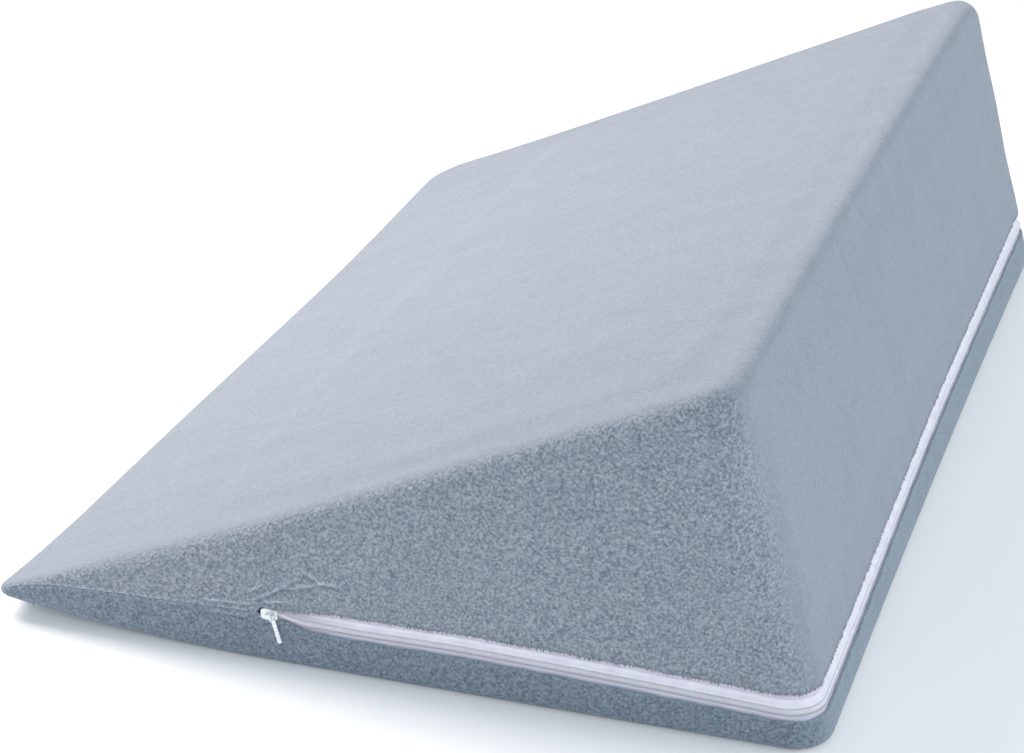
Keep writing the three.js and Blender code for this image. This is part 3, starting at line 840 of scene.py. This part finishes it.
def tray_layer(inset, lip):
    """Rows of one face of the tray's cloth, from below the lip down the wall and in over the floor."""
    along, across = RING.T
    inner = core_points(along, across, lip)
    rows = []
    for i in range(TRAY_WALL_ROWS):
        z = mix(lip, 0, (i / TRAY_WALL_ROWS) ** TRAY_ROW_BIAS)
        rows.append(surface(inner, wedge_points(along, across, z), inset))
    foot = wedge_points(along, across, np.zeros(len(lip)))
    core = core_points(along, across, np.zeros(len(lip)))
    for i in range(TRAY_EDGE_ROWS + 1):
        rows.append(surface(inner, mix(foot, core, i / TRAY_EDGE_ROWS), inset))
    for part in TRAY_RINGS:
        ring = rows[TRAY_WALL_ROWS + TRAY_EDGE_ROWS] * np.array([part, part, 1])
        ring[:, 2] = underside_height(ring[:, 0], ring[:, 1]) + inset
        rows.append(ring)
    return rows


def lower_cover(material):
    """The tray: an outer and an inner face joined by the turned hem at the lip."""
    lip = LOWER_LIP
    outer = tray_layer(0, lip - HEM_RADIUS)
    inner = tray_layer(CLOTH, lip - 2 * HEM_RADIUS)
    waver = lip_waver(RIM_X, RIM_Y, seed=17)
    tones = []
    for row in outer[:TRAY_WALL_ROWS]:
        shift = np.exp(-(((row[:, 2] - lip) / 0.006) ** 2))
        out = row - core_points(*RING.T, row[:, 2])
        out[:, 2] = 0
        out /= np.linalg.norm(out, axis=1, keepdims=True)
        tones.append(painted_shading_tone(row, lip, -1))
        row += out * (lip_pucker(row, lip, -1) + wrinkle_height(row))[:, None]
        row[:, 2] += waver * shift
    builder = Builder()
    rows = [builder.add(row) for row in reversed(outer)]
    plain_edge = rim_points(lip - HEM_RADIUS, 0)
    hem = [rim_points(height, depth) - plain_edge + outer[0] for height, depth in hem_rows(lip, -1)]
    rows += [builder.add(row) for row in hem]
    rows += [builder.add(row) for row in inner]
    index = np.stack(rows)
    outer_centre = builder.add(np.array([[0.0, 0.0, 0.0]]))
    inner_centre = builder.add(np.array([[0.0, 0.0, CLOTH]]))
    faces = quads(index[:, ::-1])
    faces += fan(index[0], int(outer_centre[0])) + fan(index[-1][::-1], int(inner_centre[0]))
    # Painted light and shade for the pile, by point: creases, lips, hem and tufts
    tone = np.zeros(builder.count)
    tone[index[len(outer) - TRAY_WALL_ROWS:len(outer)]] = tones[::-1]
    tone[index[len(outer):]] = mix(SEAM_PAINTED_HIGHLIGHT, HEM_PAINTED_SHADING[-1], openness())
    faces += lip_tufts(builder, hem[1], -1, seed=37)
    piece = make_mesh("cover_lower", builder.all_points(), faces, material)
    store_shaded_sides(piece)
    store_value(piece, "painted_shading", np.append(tone, np.full(builder.count - len(tone), TUFT_PAINTED_SHADING[-1])))
    return piece


# Zip: tapes and coil follow the rim from the slider round the heel to the far side

RIM_CORE = 0.033
TAPE_START = SLIDER_X - SLIDER_LENGTH / 2 + SLIDER_DIVIDER + GAP
TAPE_STEP = 0.0022
CORNER_STEPS = 26


def zip_path():
    """Points inside the pillow and the ways out from them, as the zip runs."""
    core_x = HEEL_X - RIM_CORE
    core_y = HALF_WIDTH - RIM_CORE
    side = np.linspace(TAPE_START, core_x, round((core_x - TAPE_START) / TAPE_STEP))
    back = np.linspace(-core_y, core_y, round(2 * core_y / TAPE_STEP))
    turn = np.linspace(-math.pi / 2, 0, CORNER_STEPS)
    path = [(x, -core_y, -math.pi / 2) for x in side[:-1]]
    path += [(core_x, -core_y, t) for t in turn]
    path += [(core_x, y, 0.0) for y in back[1:-1]]
    path += [(core_x, core_y, t + math.pi / 2) for t in turn]
    path += [(x, core_y, math.pi / 2) for x in side[-2::-1]]
    x, y, angle = np.array(path).T
    return x, y, np.cos(angle), np.sin(angle)


def zip_points(z, depth):
    """Points of the zip's stations at heights and depths within the cover."""
    x, y, out_x, out_y = zip_path()
    inner = np.stack([x, y, np.broadcast_to(z, x.shape)], axis=1)
    through = inner + np.stack([out_x, out_y, np.zeros(x.shape)], axis=1)
    return surface(inner, through, depth)


def zip_frames():
    """Along the zip's middle line: points on the cover's surface, how far along they are, and unit vectors
    along the zip, up the wall and out of it."""
    x, y, out_x, out_y = zip_path()
    level = zip_points(HEEL_ZIP_HEIGHT, 0)
    z = zip_height(level[:, 0], level[:, 1])
    middle = zip_points(z, 0)
    up = zip_points(z + 0.002, 0) - middle
    up /= np.linalg.norm(up, axis=1, keepdims=True)
    along = np.gradient(middle, axis=0)
    along /= np.linalg.norm(along, axis=1, keepdims=True)
    out = np.cross(along, up)
    out /= np.linalg.norm(out, axis=1, keepdims=True)
    steps = np.linalg.norm(np.diff(middle, axis=0), axis=1)
    distance = np.concatenate([[0], np.cumsum(steps)])
    return middle, distance, along, up, out


ZIP_MIDDLE, ZIP_DISTANCE, ZIP_ALONG, ZIP_UP, ZIP_OUT = zip_frames()
RIDGE_PLACE = 0.0029  # the tape's folded edge beside the coil
RIDGE_HALF_WIDTH = 0.0009
RIDGE_HEIGHT = 0.0017
TAPE_ROWS = 15
TAPE_PUCKER = 0.0006
TAPE_PUCKER_LENGTHS = (0.005, 0.018)


def tape_profile(side):
    """The tape's rows as heights from the middle line and depths of its outer face, at every station."""
    x = ZIP_MIDDLE[:, 0]
    opening = mix(CLOSED_OPENING, UPPER_OPENING if side > 0 else LOWER_OPENING, parting(x))
    width = opening + TAPE_TUCK
    part = np.linspace(0, 1, TAPE_ROWS)[:, None] ** 1.25
    rise = mix(GAP / 2, width, part)
    room = smooth(opening, 0.0032, 0.0060)
    ridge = RIDGE_HEIGHT * room * np.exp(-(((rise - RIDGE_PLACE) / RIDGE_HALF_WIDTH) ** 2))
    shown = smooth(rise, RIDGE_PLACE, RIDGE_PLACE + 0.002) * (1 - smooth(rise, opening - 0.002, opening))
    along = ZIP_MIDDLE * [1, 1, 0]
    pucker = TAPE_PUCKER * room * shown * waves(along, TAPE_PUCKER_LENGTHS, 12, seed=23 + side)
    return side * rise, TAPE_DEPTH - ridge - np.maximum(pucker, -TAPE_PUCKER / 2)


def on_zip(rise, depth):
    """Points at heights from the middle line and depths, for every station of the zip."""
    up = ZIP_UP * np.asarray(rise)[..., None]
    return ZIP_MIDDLE + up - ZIP_OUT * np.asarray(depth)[..., None]


def tape(name, side, material):
    rise, depth = tape_profile(side)
    outer = on_zip(rise, depth)
    inner = on_zip(rise, np.maximum(depth, TAPE_DEPTH - RIDGE_HEIGHT) + TAPE_THICKNESS)
    points = np.concatenate([outer, inner[::-1]])
    builder = Builder()
    index = builder.add(points)
    around = np.concatenate([index, index[:1]])
    faces = quads(around if side < 0 else around[::-1], closed=False)
    for column in (0, -1):
        rim = index[:, column].tolist()
        faces.append(rim if (column == 0) == (side < 0) else rim[::-1])
    piece = make_mesh(name, builder.all_points(), faces, material)
    across = np.concatenate([rise, rise[::-1]])
    opening = mix(CLOSED_OPENING, UPPER_OPENING if side > 0 else LOWER_OPENING, parting(ZIP_MIDDLE[:, 0]))
    store_value(piece, "along", np.broadcast_to(ZIP_DISTANCE, across.shape))
    store_value(piece, "across", across)
    store_value(piece, "to_lip", across / opening)
    return piece


COIL_PITCH = 0.0012
COIL_WIRE = 0.00027
WIRE_SIDES = 6
# One turn of the coil, from its foot on the tape over its head and down behind it: up the wall and out of it
COIL_TURN = (
    (0.00215, -0.00200),
    (0.00190, -0.00115),
    (0.00125, -0.00078),
    (0.00010, -0.00062),
    (-0.00085, -0.00072),
    (-0.00125, -0.00110),
    (-0.00125, -0.00185),
)


def wire_turn(side):
    """Points and faces of one turn of wire about its own frame: along the zip, up the wall and out of it."""
    line = np.array([(0.0, up * side, out) for up, out in COIL_TURN])
    way = np.gradient(line, axis=0)
    way /= np.linalg.norm(way, axis=1, keepdims=True)
    sideways = np.array([1.0, 0.0, 0.0])
    outward = np.cross(way, sideways)
    angles = 2 * math.pi * np.arange(WIRE_SIDES) / WIRE_SIDES
    ring = np.cos(angles)[None, :, None] * sideways + np.sin(angles)[None, :, None] * outward[:, None]
    points = line[:, None] + COIL_WIRE * ring
    index = np.arange(points.shape[0] * WIRE_SIDES).reshape(points.shape[0], WIRE_SIDES)
    faces = quads(index)
    faces += [index[0].tolist(), index[-1][::-1].tolist()]
    return points.reshape(-1, 3), faces


def coil(name, side, material):
    """One of the two coils, whose turns lie between the other's."""
    start = 0.002 + (COIL_PITCH / 2 if side < 0 else 0)
    places = np.arange(start, ZIP_DISTANCE[-1] - 0.002, COIL_PITCH)
    turn_points, turn_faces = wire_turn(side)
    spread = lambda values: np.stack([np.interp(places, ZIP_DISTANCE, v) for v in values.T], axis=1)
    middle, along, up, out = (spread(v) for v in (ZIP_MIDDLE, ZIP_ALONG, ZIP_UP, ZIP_OUT))
    frames = np.stack([along, up, out], axis=1)
    points = middle[:, None] + np.einsum("pi,kij->kpj", turn_points, frames)
    size = len(turn_points)
    faces = [[v + k * size for v in face] for k in range(len(places)) for face in turn_faces]
    return make_mesh(name, points.reshape(-1, 3), faces, material)


# Materials

class Shader:
    """A material with a Principled shader, and short ways to add nodes to it."""

    def __init__(self, name, **values):
        self.material = bpy.data.materials.new(name)
        self.material.use_nodes = True
        self.tree = self.material.node_tree
        self.principled = self.tree.nodes["Principled BSDF"]
        for socket, value in values.items():
            self.principled.inputs[socket.replace("_", " ")].default_value = value

    def put(self, socket, value):
        """Sets a socket to a value, or joins it to another node's output."""
        if isinstance(value, bpy.types.NodeSocket):
            self.tree.links.new(value, socket)
        else:
            socket.default_value = value

    def math(self, operation, first, second=0.0):
        node = self.tree.nodes.new("ShaderNodeMath")
        node.operation = operation
        self.put(node.inputs[0], first)
        self.put(node.inputs[1], second)
        return node.outputs[0]

    def spread(self, value, low, high, new_low, new_high):
        """A value moved from one range to another, held within it."""
        node = self.tree.nodes.new("ShaderNodeMapRange")
        for socket, given in zip(node.inputs, (value, low, high, new_low, new_high)):
            self.put(socket, given)
        return node.outputs[0]

    def mixed(self, part, first, second, blend="MIX"):
        node = self.tree.nodes.new("ShaderNodeMix")
        node.data_type = "RGBA"
        node.blend_type = blend
        self.put(node.inputs["Factor"], part)
        self.put(node.inputs[6], first)
        self.put(node.inputs[7], second)
        return node.outputs[2]

    def place(self, turn=(0, 0, 0), stretch=(1, 1, 1)):
        """Places on the object, turned and stretched."""
        coordinates = self.tree.nodes.new("ShaderNodeTexCoord")
        mapping = self.tree.nodes.new("ShaderNodeMapping")
        self.put(mapping.inputs["Vector"], coordinates.outputs["Object"])
        self.put(mapping.inputs["Rotation"], turn)
        self.put(mapping.inputs["Scale"], stretch)
        return mapping.outputs[0]

    def noise(self, place, size, detail=2.0, roughness=0.5, colour=False):
        """Soft noise whose lumps are about as large as given."""
        node = self.tree.nodes.new("ShaderNodeTexNoise")
        self.put(node.inputs["Vector"], place)
        self.put(node.inputs["Scale"], 1 / size)
        self.put(node.inputs["Detail"], detail)
        self.put(node.inputs["Roughness"], roughness)
        return node.outputs["Color" if colour else "Fac"]

    def cells(self, place, size):
        """Distance from the middle of the nearest cell of about a size, and each cell's own value."""
        node = self.tree.nodes.new("ShaderNodeTexVoronoi")
        self.put(node.inputs["Vector"], place)
        self.put(node.inputs["Scale"], 1 / size)
        own = self.tree.nodes.new("ShaderNodeSeparateColor")
        self.put(own.inputs[0], node.outputs["Color"])
        return node.outputs["Distance"], own.outputs[0]

    def shifted(self, place, by, amount):
        """Places moved about by a coloured noise."""
        centred = self.tree.nodes.new("ShaderNodeVectorMath")
        centred.operation = "SUBTRACT"
        self.put(centred.inputs[0], by)
        self.put(centred.inputs[1], (0.5, 0.5, 0.5))
        node = self.tree.nodes.new("ShaderNodeVectorMath")
        node.operation = "MULTIPLY_ADD"
        self.put(node.inputs[0], centred.outputs[0])
        self.put(node.inputs[1], (amount,) * 3)
        self.put(node.inputs[2], place)
        return node.outputs[0]

    def attribute(self, name):
        node = self.tree.nodes.new("ShaderNodeAttribute")
        node.attribute_name = name
        return node.outputs["Fac"]

    def bump(self, height, depth, strength=1.0, under=None):
        node = self.tree.nodes.new("ShaderNodeBump")
        self.put(node.inputs["Height"], height)
        self.put(node.inputs["Distance"], depth)
        self.put(node.inputs["Strength"], strength)
        if under:
            self.put(node.inputs["Normal"], under)
        return node.outputs[0]

    def finish(self, **sockets):
        for name, value in sockets.items():
            self.put(self.principled.inputs[name.replace("_", " ")], value)
        return self.material


LOOP_SIZE = 0.0019
LOOP_SWIRL = 0.0050
ROW_OF_LOOPS = 0.0020
PILE_DARK = (0.170, 0.207, 0.254, 1)
PILE_MIDDLE = (0.303, 0.338, 0.388, 1)
PILE_LIGHT = (0.438, 0.477, 0.530, 1)
# Painted shade that darkens the tray, and its sides more
TRAY_PAINTED_SHADE = ((0.85, 0.92, 0.94, 1), (0.72, 0.78, 0.82, 1))
TROUGH_SHADE = 0.62
RIDGE_SHINE = 1.45
PILE_SHADE = (0.94, 0.945, 0.955, 1)
PILE_PALE = (1.025, 1.02, 1.025, 1)


def pile_material(name, tones=((1, 1, 1, 1), (1, 1, 1, 1))):
    """Cotton pile of small loops that lie unevenly, in soft slanting rows of lighter and darker cloth, with
    painted shade between the loops and painted light on their tops, stronger on the near and far sides.

    The two tones are painted shade, for the cloth that faces along the wedge or up, and for its two sides.
    """
    shader = Shader(name, Roughness=0.92, Specular_IOR_Level=0.12)
    shader.finish(Sheen_Weight=0.30, Sheen_Roughness=0.45)
    shader.principled.inputs["Sheen Tint"].default_value = (0.93, 0.94, 1.0, 1)
    place = shader.place()
    side = shader.attribute("side")
    swirled = shader.shifted(place, shader.noise(place, LOOP_SWIRL, 1.0, colour=True), LOOP_SIZE)
    distance, own = shader.cells(swirled, LOOP_SIZE)
    loops = shader.spread(distance, 0.0, 0.75, 1.0, 0.0)
    yarn = shader.noise(place, 0.0014, 2.0, 0.6)
    tufts = shader.noise(place, 0.0070, 2.0, 0.5)
    worms = shader.spread(shader.noise(swirled, ROW_OF_LOOPS, 1.0), 0.30, 0.70, 0, 1)
    height = shader.math("ADD", shader.math("MULTIPLY", loops, 0.22), shader.math("MULTIPLY", yarn, 0.08))
    height = shader.math("ADD", height, shader.math("MULTIPLY", own, 0.25))
    height = shader.math("ADD", height, shader.math("MULTIPLY", worms, 0.45))
    # Painted shade in the gaps between loops and painted light on their tops, mixed with each loop's own
    # random tone, stronger on the near and far sides
    dark = shader.mixed(side, PILE_MIDDLE, PILE_DARK)
    light = shader.mixed(side, PILE_MIDDLE, PILE_LIGHT)
    dark = shader.mixed(0.28, dark, PILE_DARK)
    light = shader.mixed(0.27, light, PILE_LIGHT)
    colour = shader.mixed(shader.spread(height, 0.15, 0.80, 0, 1), dark, light)
    rows = shader.noise(shader.place((0, 0, math.radians(38)), (1, 3.2, 1)), 0.075, 3.0, 0.55)
    uneven = shader.math("ADD", shader.math("MULTIPLY", rows, 0.6), shader.math("MULTIPLY", tufts, 0.4))
    tone = shader.mixed(shader.spread(uneven, 0.36, 0.64, 0, 1), PILE_SHADE, PILE_PALE)
    colour = shader.mixed(1.0, colour, tone, "MULTIPLY")
    # Painted shade on the tray, stronger on its sides
    colour = shader.mixed(1.0, colour, shader.mixed(side, *tones), "MULTIPLY")
    # Painted shade in troughs and at the upper open lip, painted highlights on ridges and along the closed
    # seam
    painted_shading = shader.attribute("painted_shading")
    sunk = shader.spread(painted_shading, -1, 0, TROUGH_SHADE, 1)
    raised = shader.spread(painted_shading, 0, 1, 1, RIDGE_SHINE)
    colour = shader.mixed(1.0, colour, shader.math("MULTIPLY", sunk, raised), "MULTIPLY")
    normal = shader.bump(tufts, 0.0008, 0.5)
    normal = shader.bump(height, 0.0014, shader.spread(side, 0, 1, 0.45, 0.80), under=normal)
    return shader.finish(Base_Color=colour, Normal=normal)


WEAVE_PITCH = 0.0009
RIB_PITCH = 0.0011
TAPE_FOLD = 0.70  # where the upper tape is creased, as a share of the way to the lip; painted shade darkens the tape along it
TAPE_PAINTED_GLOW = 0.08  # a faint painted glow that makes the tape brighter
GROOVE_PLACE = 0.0026  # the shaded line below the coil
GROOVE_HALF_WIDTH = 0.0009


def ribs(shader, value, pitch):
    """A wave from 0 to 1 along a value."""
    wave = shader.math("SINE", shader.math("MULTIPLY", value, 2 * math.pi / pitch))
    return shader.spread(wave, -1, 1, 0, 1)


def tape_material():
    """White tape in a twill weave, faintly violet, with a painted glow and painted violet-grey shade along
    its fold, under the upper lip, in a line below the coil and where it runs in beside the slider, and
    greyer towards the lower lip.
    """
    shader = Shader("zip_tape_white", Roughness=0.72, Specular_IOR_Level=0.25, Sheen_Weight=0.15)
    # Painted glow that brightens the tape
    shader.finish(Emission_Color=(0.90, 0.88, 1.0, 1), Emission_Strength=TAPE_PAINTED_GLOW)
    along, across = shader.attribute("along"), shader.attribute("across")
    slant = shader.math("ADD", along, shader.math("MULTIPLY", across, 0.8))
    weave = shader.math("MULTIPLY", ribs(shader, slant, WEAVE_PITCH), ribs(shader, across, RIB_PITCH))
    to_lip = shader.attribute("to_lip")
    blotches = shader.spread(shader.noise(shader.place(), 0.012, 2.0), 0.3, 0.7, 0, 1)
    colour = shader.mixed(blotches, (0.80, 0.77, 0.88, 1), (0.92, 0.91, 0.96, 1))
    colour = shader.mixed(shader.spread(weave, 0.0, 0.5, 0.16, 0.0), colour, (0.55, 0.54, 0.64, 1))
    # Painted shade along the fold
    from_fold = shader.math("ABSOLUTE", shader.math("SUBTRACT", to_lip, TAPE_FOLD))
    colour = shader.mixed(shader.spread(from_fold, 0.02, 0.10, 0.60, 0.0), colour, (0.50, 0.47, 0.58, 1))
    # Painted shadow of the upper lip over the tape
    shaded = shader.spread(to_lip, 0.62, 1.05, 0.0, 0.85)
    colour = shader.mixed(shaded, colour, (0.46, 0.41, 0.52, 1))
    low = shader.spread(to_lip, -0.30, -1.0, 0.10, 0.80)
    colour = shader.mixed(low, colour, (0.46, 0.50, 0.58, 1))
    from_groove = shader.math("ABSOLUTE", shader.math("ADD", across, GROOVE_PLACE))
    groove = shader.spread(from_groove, GROOVE_HALF_WIDTH * 0.4, GROOVE_HALF_WIDTH, 0.92, 0.0)
    colour = shader.mixed(groove, colour, (0.34, 0.31, 0.39, 1))
    # Painted shade where the tape runs in between the lips beside the slider
    slider_shade = shader.spread(along, 0.0, 0.060, 0.85, 0.0)
    colour = shader.mixed(slider_shade, colour, (0.38, 0.36, 0.40, 1))
    return shader.finish(Base_Color=colour, Normal=shader.bump(weave, 0.0002, 0.6))


def coil_material():
    """White nylon wire with a satin face."""
    shader = Shader("zip_coil_nylon", Specular_IOR_Level=0.5)
    clouds = shader.noise(shader.place(), 0.006, 2.0)
    part = shader.spread(clouds, 0.3, 0.7, 0, 1)
    colour = shader.mixed(part, (0.78, 0.78, 0.84, 1), (0.86, 0.87, 0.91, 1))
    return shader.finish(Base_Color=colour, Roughness=shader.spread(clouds, 0.3, 0.7, 0.30, 0.42))


def metal_material():
    """White lacquer on the cast slider, thinner and rougher in places."""
    shader = Shader("zip_metal_lacquer", Metallic=0.25, Specular_IOR_Level=0.6, Coat_Weight=0.3)
    place = shader.place()
    worn = shader.noise(place, 0.0025, 3.0, 0.6)
    colour = shader.mixed(shader.spread(worn, 0.35, 0.7, 0, 1), (0.84, 0.86, 0.89, 1), (0.93, 0.94, 0.96, 1))
    grain = shader.noise(place, 0.0006, 2.0)
    roughness = shader.spread(worn, 0.3, 0.7, 0.20, 0.36)
    return shader.finish(Base_Color=colour, Roughness=roughness, Normal=shader.bump(grain, 0.00005, 0.4))


FLOOR_GLOW = 0.11  # a pale sheet that is lit from below a little, as a photographer's table is


def floor_material():
    shader = Shader("floor_pale", Roughness=0.9, Specular_IOR_Level=0.1)
    clouds = shader.noise(shader.place(), 0.6, 2.0)
    part = shader.spread(clouds, 0.3, 0.7, 0, 1)
    colour = shader.mixed(part, (0.91, 0.915, 0.92, 1), (0.93, 0.935, 0.94, 1))
    shader.finish(Emission_Color=(0.97, 0.99, 1.0, 1), Emission_Strength=FLOOR_GLOW)
    return shader.finish(Base_Color=colour)


# The pillow, put together in the frame

BEVEL = 0.00022


def frame_shift():
    """From the wedge's own middle to the frame, by the outline of the lower cover."""
    low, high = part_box("lower_cover")
    levels = np.linspace(BOTTOM_RADIUS, HEEL_ZIP_HEIGHT - LOWER_OPENING, 4)
    outline = np.concatenate([rim_points(np.full(len(RING), level), 0) for level in levels])
    middle = (outline.min(axis=0) + outline.max(axis=0)) / 2
    return Vector(((low.x + high.x) / 2 - middle[0], (low.y + high.y) / 2 - middle[1], 0))


def moved_by(piece, shift):
    points = np.zeros(len(piece.data.vertices) * 3)
    piece.data.vertices.foreach_get("co", points)
    piece.data.vertices.foreach_set("co", (points.reshape(-1, 3) + np.array(shift)).ravel())
    piece.data.update()


def soften_metal(node, material):
    """A small zip part keeps its solid, with its edges rounded."""
    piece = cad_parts[node]
    piece.data.materials.clear()
    piece.data.materials.append(material)
    bevel = piece.modifiers.new("soft_edges", "BEVEL")
    bevel.width = BEVEL
    bevel.segments = 2
    bevel.limit_method = "ANGLE"
    piece.data.shade_smooth()


def build_pillow():
    shift = frame_shift()
    cushion = upper_cover(pile_material("pile_upper"))
    tray = lower_cover(pile_material("pile_lower", TRAY_PAINTED_SHADE))
    white = tape_material()
    tapes = [tape("tape_upper", 1, white), tape("tape_lower", -1, white)]
    nylon = coil_material()
    coils = [coil("coil_upper", 1, nylon), coil("coil_lower", -1, nylon)]
    for piece in (cushion, tray, *tapes, *coils):
        moved_by(piece, shift)
        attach(piece, "root")

    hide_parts("cushion")
    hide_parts("lower_cover")
    openings = (UPPER_OPENING, LOWER_OPENING)
    for piece, node, opening in zip(tapes, ("zip_tape_upper", "zip_tape_lower"), openings):
        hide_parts(node)
    for piece in coils:
        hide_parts("zip_coil")
    metal = metal_material()
    soften_metal("zip_slider", metal)
    soften_metal("zip_pull", metal)


# Floor, lights and camera

CAMERA_PLACE = (0.5590, -1.8812, 0.9244)
CAMERA_YAW = 18.346
CAMERA_PITCH = 24.489
CAMERA_LENS = 92.15
SENSOR = 36.0


def add_floor():
    bpy.ops.mesh.primitive_grid_add(x_subdivisions=8, y_subdivisions=8, size=14, location=(0, 3, 0))
    floor = bpy.context.object
    floor.name = "floor"
    floor.data.materials.append(floor_material())


def add_light(name, place, aim, size, power, colour):
    lamp = bpy.data.lights.new(name, "AREA")
    lamp.shape = "RECTANGLE"
    lamp.size, lamp.size_y = size
    lamp.energy = power
    lamp.color = colour
    light = bpy.data.objects.new(name, lamp)
    light.location = place
    light.rotation_euler = (Vector(aim) - Vector(place)).to_track_quat("-Z", "Y").to_euler()
    bpy.context.scene.collection.objects.link(light)


def add_studio():
    add_floor()
    middle = (0, 0, 0.1)
    add_light("key", (-1.28, 0.16, 1.42), middle, (1.1, 1.1), 40, (1.0, 0.925, 0.87))
    add_light("heel_fill", (2.6, 0.3, 1.3), middle, (1.8, 1.8), 25.5, (0.93, 0.97, 1.0))
    add_light("near_fill", (0.9, -2.3, 1.7), middle, (0.8, 0.8), 12.5, (0.88, 0.96, 1.0))
    world = bpy.data.worlds.new("studio")
    world.use_nodes = True
    background = world.node_tree.nodes["Background"]
    background.inputs["Color"].default_value = (0.84, 0.92, 1.0, 1)
    background.inputs["Strength"].default_value = 0.56
    bpy.context.scene.world = world
    bpy.context.scene.view_settings.view_transform = "Standard"


def add_camera():
    data = bpy.data.cameras.new("camera")
    data.lens = CAMERA_LENS
    data.sensor_width = SENSOR
    camera = bpy.data.objects.new("camera", data)
    camera.location = CAMERA_PLACE
    camera.rotation_euler = (math.radians(90 - CAMERA_PITCH), 0, math.radians(CAMERA_YAW))
    bpy.context.scene.collection.objects.link(camera)
    bpy.context.scene.camera = camera


add_camera()
add_studio()
build_pillow()
